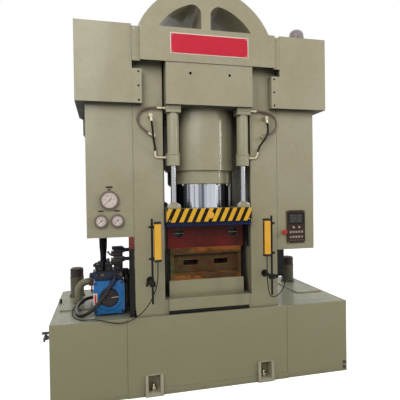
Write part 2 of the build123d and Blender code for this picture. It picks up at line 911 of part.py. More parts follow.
def curtain_stand():
    """Pole with two curtain clamps, held by one arm from the column."""
    body = bar_z(pole_radius, pole_low, pole_high, pole_x, curtain_y)
    half = curtain_width / 2
    for z in clamp_heights:
        body += block(curtain_x + half, pole_x + pole_radius + 5, curtain_y - 14, curtain_y + 14, z - 11, z + 11)
        body += bar_x(7, pole_x + pole_radius, pole_x + pole_radius + 22, curtain_y, z)
    body += block(pole_x - 22, pole_x + 22, curtain_y - 18, curtain_y + 22, arm_z - 20, arm_z + 20)
    body += bar_y(13, curtain_y + 20, frame_front - 7, pole_x, arm_z)
    body += bar_y(32, frame_front - 8, frame_front, pole_x, arm_z)
    body += bar_x(6, pole_x + 20, pole_x + 40, curtain_y, arm_z)
    return body + bar_x(17, pole_x + 38, pole_x + 54, curtain_y, arm_z)


# Power pack on the left wing

def pump_motor():
    """Square servo motor lying along Y, with feet, cooling fins and a round front cover."""
    section = RectangleRounded(2 * motor_half, motor_high - motor_low, 30)
    body = prism_y(Pos(motor_x, motor_mid_z) * section, motor_front, motor_back)
    for z in range(int(motor_low) + 48, int(motor_high) - 48, 22):
        for x in (motor_x - motor_half, motor_x + motor_half):
            body -= block(x - 8, x + 8, motor_front + 40, motor_back - 40, z, z + 9)
    body += bar_y(motor_cover_radius, motor_front - 14, motor_front + 1, motor_x, motor_mid_z)
    for x in (motor_x - motor_half + 36, motor_x + motor_half - 36):
        body += block(x - 24, x + 24, motor_front + 20, motor_back - 20, base_height, motor_low + 4)
    return body


def oil_pump():
    """Pump on the back of the motor, with suction flange and delivery boss."""
    back = motor_back + pump_length
    body = bar_y(motor_half - 14, motor_back, motor_back + 30, motor_x, motor_mid_z)
    body += bar_y(pump_radius, motor_back + 29, back, motor_x, motor_mid_z)
    body += bar_y(pump_radius - 22, back - 1, back + 26, motor_x, motor_mid_z)
    inlet = motor_x - pump_radius - 30
    body += block(inlet, motor_x, suction_y - 36, suction_y + 36, suction_z - 40, suction_z + 36)
    before, end = (Vector(*point) for point in pump_hose_route()[-2:])
    nipple = Plane(origin=end, z_dir=end - before) * Circle(pump_hose_diameter / 2 + 4)
    return body + extrude(nipple, 110)


def bent_pipe(points, radius, bend):
    """Round pipe along straight runs with one bend radius."""
    path = FilletPolyline(*points, radius=bend)
    return sweep(Plane(origin=path @ 0, z_dir=path % 0) * Circle(radius), path=path)


def suction_pipe():
    """Bent pipe from the tank cover to the pump's suction flange, with a probe at its foot."""
    end = motor_x - pump_radius - 30
    low = base_height + cover_thickness
    points = [(suction_x, suction_y, low), (suction_x, suction_y, suction_z), (end, suction_y, suction_z)]
    pipe = bent_pipe(points, suction_radius, suction_bend)
    flange = bar_x(suction_radius + 18, end - 14, end, suction_y, suction_z)
    foot = bar_z(suction_radius + 18, low, low + 22, suction_x, suction_y)
    x, y, z = left_cable_route()[-1]
    return pipe + flange + foot + bar_y(cable_gland_radius, y, suction_y - suction_radius, x, z)


def valve_manifold():
    """Drilled block on the motor with solenoid valves, pipe stubs and a pressure filter."""
    low = motor_high
    front = motor_front + 30
    body = block(motor_x - manifold_half, motor_x + manifold_half, front, front + manifold_depth, low, manifold_high)
    body = chamfer(body.edges().filter_by(Axis.Z), edge_break)
    for step, x in enumerate((motor_x - 78, motor_x, motor_x + 78)):
        reach = 80 + 14 * (step % 2)
        body += block(x - 27, x + 27, front + 12, front + 150, manifold_high - 1, manifold_high + 58)
        body += bar_y(22, front - 24, front + 13, x, manifold_high + 28)
        if step:
            body += bar_z(11, manifold_high + 50, manifold_high + reach, x, front + 110)
    for z in (low + 46, manifold_high + 76, manifold_high + 158):
        body += bar_x(line_radius, motor_x + 78, -frame_half - pit_gap, front + 160, z)
        body += bar_x(line_radius + 8, motor_x + 120, motor_x + 146, front + 160, z)
    body += block(motor_x + 48, motor_x + 128, front + 112, front + 204, manifold_high - 1, manifold_high + 186)
    body += bar_x(20, motor_x - manifold_half - 40, motor_x - manifold_half + 1, front + 70, low + 44)
    body += block(motor_x - manifold_half - 14, motor_x - manifold_half + 1, front + 30, front + 150,
                  low + 10, manifold_high - 4)
    for x, y, z in (front_riser_route()[-1], rear_riser_route()[-1]):
        body += bar_z(riser_diameter / 2 + 4, manifold_high - 1, z, x, y)
    start, after = (Vector(*point) for point in pump_hose_route()[:2])
    corner = start + (start - after).normalized() * 58
    port = (corner.X, front + 1, corner.Z)
    return body + bent_pipe([port, corner, start], pump_hose_diameter / 2 + 4, 22)


def cable_duct(width, low, high):
    """Upright duct beside the right column."""
    x0 = frame_half + pit_gap
    return block(x0, x0 + width, frame_front, frame_front + duct_size + 20, low, high)


def right_cable_duct():
    """Short duct under the right cabinet, with the gland that takes the curtain cable."""
    x, y, z = right_cable_route()[-1]
    body = cable_duct(short_duct_width, right_cabinet_low - short_duct_drop, right_cabinet_low)
    return body + bar_y(cable_gland_radius, y, frame_front + 1, x, z)


def tank_filter():
    """Upright filter on a wing tank: bowl, cap and a small bleed screw."""
    low = base_height + cover_thickness
    cap_low = filter_high - filter_cap_height
    body = bar_z(filter_radius + 10, low, low + 10, filter_x, filter_y)
    body += bar_z(filter_radius, low, cap_low, filter_x, filter_y)
    cap = bar_z(filter_radius - 5, cap_low - 1, filter_high, filter_x, filter_y)
    return body + chamfer(cap.faces().sort_by(Axis.Z)[-1].edges(), 8)


# Small fittings

def drain_pipe():
    """Pipe from the left top tank down into the back of the left cabinet."""
    x, y = -cabinet_outer - drain_outset, tank_back - drain_setback
    inner, z = x + drain_reach, tank_low - drain_drop
    pipe = bent_pipe([(x, y, tank_low), (x, y, z), (inner, y, z), (inner, frame_back, z)], drain_radius, drain_bend)
    pipe += bar_z(drain_radius + 14, tank_low - 12, tank_low, x, y)
    return pipe + bar_y(drain_radius + 14, frame_back, frame_back + 12, inner, z)


def tank_fittings():
    """Oil cock body on the left side, two level plugs, a deck plug and the drain pipe."""
    wall = -base_half
    body = bar_x(11, wall - 44, wall, valve_y, valve_z)
    body += bar_x(17, wall - 12, wall, valve_y, valve_z)
    body += bar_z(15, valve_z - 16, valve_z + 18, wall - 30, valve_y)
    body += bar_z(8, valve_z - 34, valve_z, wall - 44, valve_y)
    plugs = [bar_y(13, base_front - 12, base_front, plug_x, z) for z in plug_heights]
    deck_plug = bar_z(13, base_height, base_height + 38, wall + deck_plug_inset,
                      frame_mid + deck_plug_setback)
    return [body] + plugs + [deck_plug, drain_pipe()]


def cock_handle():
    """Wing handle on top of the oil cock."""
    x, low = -base_half - 30, valve_z + 18 + die_gap
    body = bar_z(8, low, low + 18, x, valve_y)
    return body + block(x - 30, x + 30, valve_y - 4, valve_y + 4, low + 8, low + 30)


def flange_fitting(route):
    """Straight adapter from a return cylinder's flange to the start of its hose."""
    x, y, z = route[0]
    side = 1 if x > 0 else -1
    face = side * (return_x + return_flange / 2)
    pipe = bar_x(hose_pipe_radius, min(face, x), max(face, x), y, z)
    ferrule = bar_x(hose_ferrule_radius, min(x, x - side * 38), max(x, x - side * 38), y, z)
    return pipe + ferrule + bar_x(hose_ferrule_radius + 3, min(face, face + side * 14),
                                  max(face, face + side * 14), y, z)


def banjo_fitting(hose_end, before):
    """Banjo on the column face, with a ferrule that meets the hose end in line."""
    end = Vector(*hose_end)
    along = (end - Vector(*before)).normalized()
    centre = end + along * 46
    ferrule = extrude(Plane(origin=end, z_dir=along) * Circle(hose_ferrule_radius), 38)
    pipe = extrude(Plane(origin=end, z_dir=along) * Circle(hose_pipe_radius), 46)
    eye = bar_y(banjo_radius, centre.Y - banjo_radius, frame_front, centre.X, centre.Z)
    return eye + ferrule + pipe


def gland_fitting(route):
    """Elbow from the gland's port boss up to the end of its hose, in line with the hose."""
    before, end = (Vector(*point) for point in route[-2:])
    along = (end - before).normalized()
    port_z = return_gland_low + port_height
    corner = end + along * ((port_z - end.Z) / along.Z)
    side = 1 if end.X > 0 else -1
    face = side * (return_x + port_boss_reach)
    pipe = bent_pipe([(face, corner.Y, port_z), corner, end], hose_pipe_radius, 22)
    nut = bar_x(hose_ferrule_radius + 1, min(face, face + side * 14), max(face, face + side * 14),
                corner.Y, port_z)
    return pipe + nut + extrude(Plane(origin=end, z_dir=along) * Circle(hose_ferrule_radius), 26)


def hose_fittings():
    """Adapters at both ends of the four upper hoses."""
    pieces = []
    for upper, lower in ((upper_right_route(), lower_right_route()), (upper_left_route(), lower_left_route())):
        pieces += [flange_fitting(upper), banjo_fitting(upper[-1], upper[-2])]
        pieces += [banjo_fitting(lower[0], lower[1]), gland_fitting(lower)]
    return pieces


# Hose and cable routes, each a list of points chosen along its run

def flange_port():
    """Hose end of the adapter on the right return cylinder's flange."""
    return return_x + return_flange / 2 + port_height, housing_low - return_flange_height / 2


def upper_right_route():
    """From the right flange adapter out in a loop and back to the column."""
    x, z = flange_port()
    places = [(0, 0), (46, 0), (101, -8), (153, -30), (188, -66), (199, -115), (184, -163), (147, -196),
              (105, -216)]
    return [(x + across, return_y, z + up) for across, up in places]


def upper_left_route():
    """The same hose on the left, which bends a little tighter."""
    x, z = flange_port()
    places = [(0, 0), (44, 0), (93, -8), (138, -30), (164, -71), (166, -119), (143, -161), (107, -192),
              (72, -215)]
    return [(-x - across, return_y, z + up) for across, up in places]


def lower_right_route():
    """From the column down, in front of the upper hose's end, to the elbow on the right gland."""
    x, z = flange_port()
    places = [(84, 50, -112), (92, 50, -148), (91, 50, -188), (81, 48, -225), (63, 42, -258), (43, 30, -287),
              (26, 17, -314), (15, 8, -341), (9, 3, -368)]
    return [(x + across, return_y - forward, z + up) for across, forward, up in places]


def lower_left_route():
    """The same hose on the left, which hangs straighter."""
    x, z = flange_port()
    places = [(53, 50, -124), (47, 50, -162), (43, 49, -204), (40, 45, -246), (34, 35, -284), (26, 20, -316),
              (20, 6, -344), (19, 0, -368)]
    return [(-x - across, return_y - forward, z + up) for across, forward, up in places]


def left_cable_route():
    """From the left curtain down over the base's front edge and along the deck to the pump's probe."""
    x, y, top = -curtain_x, curtain_y, curtain_low - cable_gland_length
    hanging = [(x, y, top), (x, y, top - 66), (x - 2, y + 3, top - 135), (x - 14, y + 12, top - 205),
               (x - 39, y + 26, top - 277), (x - 75, y + 44, top - 349), (x - 125, y + 70, top - 417),
               (x - 187, y + 100, top - 469)]
    deck, edge = base_height + cable_diameter / 2, base_front
    stretch = (x - 187 - suction_x) / 482
    lying = [(x - 187 - out * stretch, edge + back, deck + up) for out, back, up in (
        (70, -16, -27), (140, -18, -29), (206, -17, -16), (266, -12, 4), (322, -2, 14), (376, 16, 12),
        (424, 46, 3), (462, 90, 0), (492, 148, 0), (512, 212, 0), (522, 278, 2))]
    cover = deck + cover_thickness
    end_x, end_y = suction_x - 8, suction_y
    return hanging + lying + [(end_x - 32, cover_front - 47, cover + 5), (end_x - 24, cover_front + 11, cover + 12),
                              (end_x - 12, end_y - 150, cover + 8), (end_x, end_y - 108, cover + 6),
                              (end_x, end_y - 72, cover + 6)]


def right_cable_route():
    """From the right curtain down in a loop and up to the gland on the duct."""
    x, y, top = curtain_x, curtain_y, curtain_low - cable_gland_length
    falling = [(x, y, top), (x, y, top - 70), (x + 2, y + 3, top - 153), (x + 8, y + 9, top - 227),
               (x + 18, y + 16, top - 291), (x + 33, y + 24, top - 335), (x + 57, y + 32, top - 359),
               (x + 86, y + 40, top - 361)]
    duct_x = frame_half + pit_gap + short_duct_width / 2
    rising = [(duct_x - 95, y + 43, top - 352), (duct_x - 69, y + 44, top - 333), (duct_x - 47, y + 45, top - 308),
              (duct_x - 29, y + 48, top - 280), (duct_x - 15, y + 55, top - 251), (duct_x - 5, y + 70, top - 225),
              (duct_x - 1, y + 92, top - 203), (duct_x, frame_front - 46, top - 193),
              (duct_x, frame_front - 21, top - 193)]
    return falling + rising


def pump_hose_route():
    """From the manifold down across the front of the motor, round on the deck and back to the pump."""
    x, y, deck = motor_x, motor_front, base_height + pump_hose_diameter / 2
    return [(x + 21, y - 30, deck + 258), (x - 17, y - 36, deck + 200), (x - 59, y - 41, deck + 142),
            (x - 104, y - 45, deck + 87), (x - 150, y - 44, deck + 44), (x - 199, y - 28, deck + 14),
            (x - 241, y + 8, deck), (x - 268, y + 58, deck), (x - 280, y + 112, deck + 7),
            (x - 280, y + 168, deck + 21), (x - 268, y + 222, deck + 39), (x - 243, y + 268, deck + 53),
            (x - 213, y + 306, deck + 63), (x - 177, y + 334, deck + 68), (x - 136, y + 350, deck + 69)]


def front_riser_route():
    """Front hose from the left cabinet down to the first valve."""
    x, y, top = motor_x, motor_front, left_cabinet_low - riser_gland_length
    low = manifold_high + 80
    return [(x - 61, y + 140, top), (x - 61, y + 140, top - 40), (x - 59, y + 139, top - 90),
            (x - 55, y + 137, top - 136), (x - 54, y + 136, low + 36), (x - 54, y + 136, low)]


def rear_riser_route():
    """Rear hose from the left cabinet down to the manifold."""
    x, y, top = motor_x, motor_front, left_cabinet_low - riser_gland_length
    low = manifold_high + 80
    return [(x - 24, y + 196, top), (x - 24, y + 196, top - 44), (x - 26, y + 197, top - 92),
            (x - 31, y + 198, top - 134), (x - 33, y + 199, low + 30), (x - 33, y + 199, low)]


def route_radii(points):
    """Arc radius at each corner, from the shorter of its two runs and its turn."""
    corners = [Vector(*point) for point in points]
    radii = []
    for before, corner, after in zip(corners, corners[1:], corners[2:]):
        run_in, run_out = corner - before, after - corner
        half_turn = radians(run_in.get_angle(run_out)) / 2
        radii.append(0.45 * min(run_in.length, run_out.length) / tan(half_turn))
    return radii


def tube(name, points, diameter):
    """Round tube along straight runs joined by tangent arcs."""
    radii = route_radii(points)
    path = FilletPolyline(*points, radius=radii)
    start = Plane(origin=path @ 0, z_dir=path % 0)
    body = sweep(start * Circle(diameter / 2), path=path)
    ideal = 3.14159265 * (diameter / 2) ** 2 * path.length
    print(f"{name}: length {path.length:.0f}, least radius {min(radii) / diameter:.1f} diameters, "
          f"volume ratio {body.volume / ideal:.4f}")
    return body


def main():
    os.makedirs("parts", exist_ok=True)
    write("base_centre", base_centre())
    write("right_wing_tank", wing_tank())
    write("left_wing_tank", other_side(wing_tank()))
    write("deck_covers", deck_cover(), other_side(deck_cover()))
    write("anchor_brackets", *base_corners(anchor_bracket()))

    write("right_column", column())
    write("left_column", other_side(column()))
    write("upper_yoke", upper_yoke())
    write("lower_yoke", half_yoke(foot_z, False))
    write("wire_winding", wire_winding())
    write("guide_rails", *four_corners(guide_rail()))
    write("cable_ducts", right_cable_duct(), other_side(cable_duct(duct_size, base_height, left_cabinet_low)))

    write("bed_block", bed_block())
    write("apron_plate", apron_plate())
    write("lower_bolster", lower_bolster())

    write("upper_die", upper_die())
    write("slide_plate", slide_plate())
    write("slide_beam", slide_beam())
    write("guard_plate", guard_plate())
    write("ram", ram())
    write("return_rods", *four_corners(return_rod()))

    write("cylinder_housing", cylinder_housing())
    write("main_cylinder", main_cylinder())
    write("gland_ring", gland_ring())
    write("return_cylinders", *four_corners(return_cylinder()))

    write("header_covers", header_cover(), behind(header_cover()))
    write("right_top_tank", right_top_tank())
    write("left_top_tank", other_side(top_tank()))
    write("filler_cap", filler_cap())
    write("machine_screws", *machine_screws(), *base_corners(anchor_bolt()))

    write("left_cabinet", left_cabinet())
    write("right_cabinet", right_cabinet())
    write("cabinet_door", cabinet_door())
    write("gauge_cases", *[gauge_case(*place) for place in gauges().values()])
    write("gauge_glasses", *[gauge_glass(*place) for place in gauges().values()])
    for name, place in gauges().items():
        write(f"{name}_gauge_needle", gauge_needle(*place))
    write("operator_panel", operator_panel())
    write("estop_collar", estop_collar())
    write("estop_button", estop_button())
    write("light_curtains", light_curtain(), other_side(light_curtain()))
    write("curtain_stands", curtain_stand(), other_side(curtain_stand()))

    write("pump_motor", pump_motor())
    write("oil_pump", oil_pump())
    write("suction_pipe", suction_pipe())
    write("valve_manifold", valve_manifold())
    write("tank_filters", tank_filter(), other_side(tank_filter()))
    write("tank_fittings", *tank_fittings())
    write("cock_handle", cock_handle())
    write("hose_fittings", *hose_fittings())

    cords = {
        "upper_right_hose": (upper_right_route(), hose_diameter),
        "lower_right_hose": (lower_right_route(), hose_diameter),
        "upper_left_hose": (upper_left_route(), hose_diameter),
        "lower_left_hose": (lower_left_route(), hose_diameter),
        "left_curtain_cable": (left_cable_route(), cable_diameter),
        "right_curtain_cable": (right_cable_route(), cable_diameter),
        "pump_hose": (pump_hose_route(), pump_hose_diameter),
        "front_riser_hose": (front_riser_route(), riser_diameter),
        "rear_riser_hose": (rear_riser_route(), riser_diameter),
    }
    for name, (points, diameter) in cords.items():
        write(name, tube(name, points, diameter))


main()
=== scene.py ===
"""Dresses the wire-wound hydraulic press: finishes, hoses, dials, plates, floor, lamps and camera."""
import logging
import math
from dataclasses import dataclass, field, replace
from enum import Enum
from itertools import product
from typing import Callable, Iterable, Sequence

import bmesh
import bpy
from mathutils import Matrix, Vector


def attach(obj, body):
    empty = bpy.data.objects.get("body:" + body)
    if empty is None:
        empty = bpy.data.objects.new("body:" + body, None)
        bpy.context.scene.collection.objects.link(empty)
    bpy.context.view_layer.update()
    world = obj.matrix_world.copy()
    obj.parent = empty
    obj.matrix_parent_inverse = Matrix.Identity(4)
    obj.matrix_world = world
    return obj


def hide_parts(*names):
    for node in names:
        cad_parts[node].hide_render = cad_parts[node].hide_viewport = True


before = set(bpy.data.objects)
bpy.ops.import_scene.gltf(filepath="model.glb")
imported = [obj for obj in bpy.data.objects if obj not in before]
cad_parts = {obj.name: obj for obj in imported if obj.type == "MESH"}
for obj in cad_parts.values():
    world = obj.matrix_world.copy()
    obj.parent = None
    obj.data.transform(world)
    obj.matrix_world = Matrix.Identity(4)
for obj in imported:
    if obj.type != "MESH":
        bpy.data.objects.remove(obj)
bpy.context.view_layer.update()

LOG = logging.getLogger("hydraulic_press")
Colour = tuple[float, float, float]
Point = tuple[float, float, float]
PRESS = "press"
PER_METRE = 1000
SIDES = (-1, 1)
ORIGIN: Point = (0.0, 0.0, 0.0)
OUT: Point = (0.0, -1.0, 0.0)
UP: Point = (0.0, 0.0, 1.0)


def tone(red: int, green: int, blue: int) -> Colour:
    """Turns a colour as it looks on a screen, 0 to 255, into linear light.

    Args:
        red: Red as shown.
        green: Green as shown.
        blue: Blue as shown.

    Returns:
        The linear colour.
    """
    shown = [value / 255 for value in (red, green, blue)]
    return tuple(v / 12.92 if v <= 0.04045 else ((v + 0.055) / 1.055) ** 2.4 for v in shown)


def opaque(colour: Colour) -> tuple[float, float, float, float]:
    """The colour with full alpha."""
    return (*colour, 1.0)


class Bench:
    """Adds nodes to one tree, sets their inputs and links them."""

    def __init__(self, tree: bpy.types.NodeTree) -> None:
        """Keeps the tree that the nodes go in.

        Args:
            tree: A material's, world's or group's node tree.
        """
        self.tree = tree

    def add(self, kind: str, settings: dict | None = None, **inputs: object) -> bpy.types.Node:
        """Adds one node.

        Args:
            kind: The node's type name without its ShaderNode prefix.
            settings: The node's own properties.
            **inputs: Values or output sockets by input name, with underscores for spaces.

        Returns:
            The new node.
        """
        node = self.tree.nodes.new("ShaderNode" + kind)
        for key, value in (settings or {}).items():
            setattr(node, key, value)
        for key, value in inputs.items():
            self.feed(node, int(key[1:]) if key[0] == "i" and key[1:].isdigit() else key.replace("_", " "), value)
        return node

    def feed(self, node: bpy.types.Node, key: str | int, value: object) -> None:
        """Links a socket to an input, or sets the input's value.

        Args:
            node: The node that takes the value.
            key: The input's name or number.
            value: An output socket, or a plain value.
        """
        if isinstance(value, bpy.types.NodeSocket):
            self.tree.links.new(value, node.inputs[key])
        elif isinstance(value, tuple) and len(value) == 3 and node.inputs[key].type == "RGBA":
            node.inputs[key].default_value = opaque(value)
        else:
            node.inputs[key].default_value = value

    def sum(self, operation: str, *values: object, clamp: bool = False) -> bpy.types.NodeSocket:
        """One step of arithmetic.

        Args:
            operation: Name of the Math node's operation.
            *values: Up to three numbers or sockets.
            clamp: Keeps the result from 0 to 1.

        Returns:
            The result's socket.
        """
        node = self.add("Math", {"operation": operation, "use_clamp": clamp})
        for place, value in enumerate(values):
            self.feed(node, place, value)
        return node.outputs[0]

    def mix(self, factor: object, first: object, second: object) -> bpy.types.NodeSocket:
        """Blends two colours.

        Args:
            factor: Share of the second colour, a number or a socket.
            first: Colour or socket shown at 0.
            second: Colour or socket shown at 1.

        Returns:
            The blended colour's socket.
        """
        node = self.add("Mix", {"data_type": "RGBA"})
        self.feed(node, 0, factor)
        self.feed(node, 6, first)
        self.feed(node, 7, second)
        return node.outputs[2]

    def between(self, value: object, low: float, high: float, out_low: float = 0.0,
                out_high: float = 1.0) -> bpy.types.NodeSocket:
        """Maps a range onto another, clamped and smooth.

        Args:
            value: Socket to map.
            low: Value that gives out_low.
            high: Value that gives out_high.
            out_low: Result at low.
            out_high: Result at high.

        Returns:
            The mapped value's socket.
        """
        node = self.add("MapRange", {"interpolation_type": "SMOOTHSTEP"})
        for place, each in enumerate((value, low, high, out_low, out_high)):
            self.feed(node, place, each)
        return node.outputs[0]

    def noise(self, vector: object, scale: object, detail: float, roughness: float = 0.5,
              distortion: float = 0.0) -> bpy.types.NodeSocket:
        """Cloudy noise.

        Args:
            vector: Socket of the coordinates.
            scale: How fine it is, a number or a socket.
            detail: Number of finer layers in it.
            roughness: Strength of the finer layers.
            distortion: How far it is twisted.

        Returns:
            The noise's socket.
        """
        node = self.add("TexNoise", Vector=vector, Scale=scale, Detail=detail, Roughness=roughness,
                        Distortion=distortion)
        return node.outputs[0]


class Effect:
    """A shader node group that several finishes share."""

    def __init__(self, name: str, inputs: dict[str, tuple[str, object]], outputs: dict[str, str],
                 wire: Callable[[Bench, bpy.types.Node, bpy.types.Node], None]) -> None:
        """Makes the group once.

        Args:
            name: The group's name.
            inputs: Kind and default of each input socket.
            outputs: Kind of each output socket.
            wire: Function that fills the group between its two end nodes.
        """
        self.tree = bpy.data.node_groups.new(name, "ShaderNodeTree")
        kinds = {"value": "NodeSocketFloat", "vector": "NodeSocketVector"}
        for label, (kind, default) in inputs.items():
            socket = self.tree.interface.new_socket(label, in_out="INPUT", socket_type=kinds[kind])
            if default is not None:
                socket.default_value = default
        for label, kind in outputs.items():
            self.tree.interface.new_socket(label, in_out="OUTPUT", socket_type=kinds[kind])
        start, end = self.tree.nodes.new("NodeGroupInput"), self.tree.nodes.new("NodeGroupOutput")
        wire(Bench(self.tree), start, end)

    def place(self, bench: Bench, **inputs: object) -> bpy.types.Node:
        """Puts the group in a material, with values or sockets by input name."""
        return bench.add("Group", {"node_tree": self.tree}, **inputs)


def wire_mottle(bench: Bench, start: bpy.types.Node, end: bpy.types.Node) -> None:
    """Cloudy patches with finer specks in them.

    Args:
        bench: The group's bench.
        start: The group's input node.
        end: The group's output node.
    """
    clouds = bench.noise(start.outputs["Vector"], start.outputs["Scale"], 5.0, 0.55)
    fine = bench.noise(start.outputs["Vector"], bench.sum("MULTIPLY", start.outputs["Scale"], 9.0), 4.0, 0.6)
    patch = bench.between(clouds, 0.32, 0.68)
    speck = bench.between(fine, 0.35, 0.65)
    bench.feed(end, "Mask", bench.sum("MULTIPLY_ADD", speck, 0.3, bench.sum("MULTIPLY", patch, 0.7)))


def wire_edge_wear(bench: Bench, start: bpy.types.Node, end: bpy.types.Node) -> None:
    """Rubbed line along sharp edges, broken up by noise.

    Args:
        bench: The group's bench.
        start: The group's input node.
        end: The group's output node.
    """
    soft = bench.add("Bevel", {"samples": 4}, Radius=start.outputs["Width"])
    plain = bench.add("NewGeometry")
    aligned = bench.add("VectorMath", {"operation": "DOT_PRODUCT"}, i0=soft.outputs[0], i1=plain.outputs["Normal"])
    edge = bench.between(aligned.outputs["Value"], 0.995, 0.86)
    noise = bench.noise(start.outputs["Vector"], start.outputs["Scale"], 4.0)
    kept = bench.sum("MULTIPLY", edge, bench.between(noise, 0.36, 0.6))
    bench.feed(end, "Mask", bench.sum("MULTIPLY", kept, start.outputs["Amount"], clamp=True))


def wire_grime(bench: Bench, start: bpy.types.Node, end: bpy.types.Node) -> None:
    """Dirt and painted shade in corners: the colour darkens where ambient occlusion finds little open space.

    Args:
        bench: The group's bench.
        start: The group's input node.
        end: The group's output node.
    """
    hollow = bench.add("AmbientOcclusion", {"samples": 6}, Distance=start.outputs["Reach"])
    dirt_and_shade = bench.between(hollow.outputs["AO"], 0.85, 0.25)
    noise = bench.noise(start.outputs["Vector"], 14.0, 5.0)
    uneven = bench.between(noise, 0.2, 0.7, 0.45, 1.0)
    worked = bench.sum("MULTIPLY", dirt_and_shade, uneven)
    bench.feed(end, "Mask", bench.sum("MULTIPLY", worked, start.outputs["Amount"], clamp=True))


def wire_shelter(bench: Bench, start: bpy.types.Node, end: bpy.types.Node) -> None:
    """Painted shade: a dark tint on undersides and deep recesses, where shade falls, weaker from 2.8 m up.

    Args:
        bench: The group's bench.
        start: The group's input node.
        end: The group's output node.
    """
    open_sky = bench.add("AmbientOcclusion", {"samples": 10}, Distance=start.outputs["Reach"])
    deep = bench.between(open_sky.outputs["AO"], 0.38, 0.13)
    parts = bench.add("SeparateXYZ", Vector=bench.add("NewGeometry").outputs["Normal"])
    under = bench.between(parts.outputs[2], -0.7, -0.95)
    film = bench.sum("MAXIMUM", deep, under)
    noise = bench.noise(start.outputs["Vector"], 5.0, 5.0)
    uneven = bench.between(noise, 0.25, 0.6, 0.8, 1.0)
    height = bench.add("SeparateXYZ", Vector=start.outputs["Vector"]).outputs[2]
    worked = bench.sum("MULTIPLY", bench.sum("MULTIPLY", film, uneven), bench.between(height, 2.92, 2.8, 0.25, 1.0))
    bench.feed(end, "Mask", bench.sum("MULTIPLY", worked, start.outputs["Amount"], clamp=True))


def wire_dust(bench: Bench, start: bpy.types.Node, end: bpy.types.Node) -> None:
    """Dust that settles on faces that look up, in each finish's tint; on the machine paint it is partly a painted
    sheen.

    Args:
        bench: The group's bench.
        start: The group's input node.
        end: The group's output node.
    """
    parts = bench.add("SeparateXYZ", Vector=bench.add("NewGeometry").outputs["Normal"])
    upward = bench.between(parts.outputs[2], 0.55, 0.98)
    noise = bench.noise(start.outputs["Vector"], 9.0, 6.0, 0.65)
    patches = bench.between(noise, 0.3, 0.7, 0.25, 1.0)
    settled = bench.sum("MULTIPLY", upward, patches)
    bench.feed(end, "Mask", bench.sum("MULTIPLY", settled, start.outputs["Amount"], clamp=True))


def wire_grain(bench: Bench, start: bpy.types.Node, end: bpy.types.Node) -> None:
    """Small uneven surface, such as the skin of sprayed paint.

    Args:
        bench: The group's bench.
        start: The group's input node.
        end: The group's output node.
    """
    noise = bench.noise(start.outputs["Vector"], start.outputs["Scale"], 3.0)
    waves = bench.noise(start.outputs["Vector"], bench.sum("MULTIPLY", start.outputs["Scale"], 0.04), 2.0)
    height = bench.sum("MULTIPLY_ADD", waves, start.outputs["Waves"], noise)
    bump = bench.add("Bump", Height=height, Strength=start.outputs["Strength"], Distance=0.001)
    bench.feed(end, "Normal", bump.outputs[0])


def wire_rust(bench: Bench, start: bpy.types.Node, end: bpy.types.Node) -> None:
    """Rust patches with crusty rims.

    Args:
        bench: The group's bench.
        start: The group's input node.
        end: The group's output node.
    """
    broad = bench.noise(start.outputs["Vector"], start.outputs["Scale"], 8.0, 0.7, 0.4)
    cells = bench.add("TexVoronoi", Vector=start.outputs["Vector"],
                      Scale=bench.sum("MULTIPLY", start.outputs["Scale"], 12.0))
    patch = bench.between(broad, 0.38, 0.6)
    crust = bench.sum("MULTIPLY", patch, bench.between(cells.outputs[0], 0.0, 0.6, 0.5, 1.0))
    bench.feed(end, "Mask", bench.sum("MULTIPLY", crust, start.outputs["Amount"], clamp=True))
    bump = bench.add("Bump", Height=crust, Strength=0.5, Distance=0.002)
    bench.feed(end, "Normal", bump.outputs[0])


def wire_streaks(bench: Bench, start: bpy.types.Node, end: bpy.types.Node) -> None:
    """Fine lines left by grinding or brushing; the mapping stretches them.

    Args:
        bench: The group's bench.
        start: The group's input node.
        end: The group's output node.
    """
    noise = bench.noise(start.outputs["Vector"], 60.0, 5.0, 0.7)
    bench.feed(end, "Mask", bench.between(noise, 0.3, 0.7))
    bump = bench.add("Bump", Height=noise, Strength=start.outputs["Strength"], Distance=0.0006)
    bench.feed(end, "Normal", bump.outputs[0])


class Effects:
    """The shared node groups, each built once."""

    VECTOR = {"Vector": ("vector", None)}

    def __init__(self) -> None:
        """Builds every group, after clearing the plain materials that came with the CAD model."""
        for plain in list(bpy.data.materials):
            bpy.data.materials.remove(plain)
        self.made: dict[str, bpy.types.Material] = {}
        base = self.VECTOR
        self.mottle = Effect("mottled_colour", {**base, "Scale": ("value", 3.0)}, {"Mask": "value"}, wire_mottle)
        self.wear = Effect("edge_wear", {**base, "Width": ("value", 0.004), "Scale": ("value", 20.0),
                                         "Amount": ("value", 0.6)}, {"Mask": "value"}, wire_edge_wear)
        # Dirt and painted shade in corners.
        self.grime = Effect("corner_grime_and_shade", {**base, "Reach": ("value", 0.08), "Amount": ("value", 0.5)},
                            {"Mask": "value"}, wire_grime)
        # Painted shade on undersides and deep recesses.
        self.shelter = Effect("painted_under_shade", {**base, "Reach": ("value", 0.6), "Amount": ("value", 0.9)},
                              {"Mask": "value"}, wire_shelter)
        self.dust = Effect("settled_dust", {**base, "Amount": ("value", 0.4)}, {"Mask": "value"}, wire_dust)
        self.grain = Effect("surface_grain", {**base, "Scale": ("value", 400.0), "Strength": ("value", 0.1),
                                              "Waves": ("value", 2.0)}, {"Normal": "vector"}, wire_grain)
        self.rust = Effect("rust_patches", {**base, "Scale": ("value", 8.0), "Amount": ("value", 0.5)},
                           {"Mask": "value", "Normal": "vector"}, wire_rust)
        self.streaks = Effect("ground_streaks", {**base, "Strength": ("value", 0.1)},
                              {"Mask": "value", "Normal": "vector"}, wire_streaks)


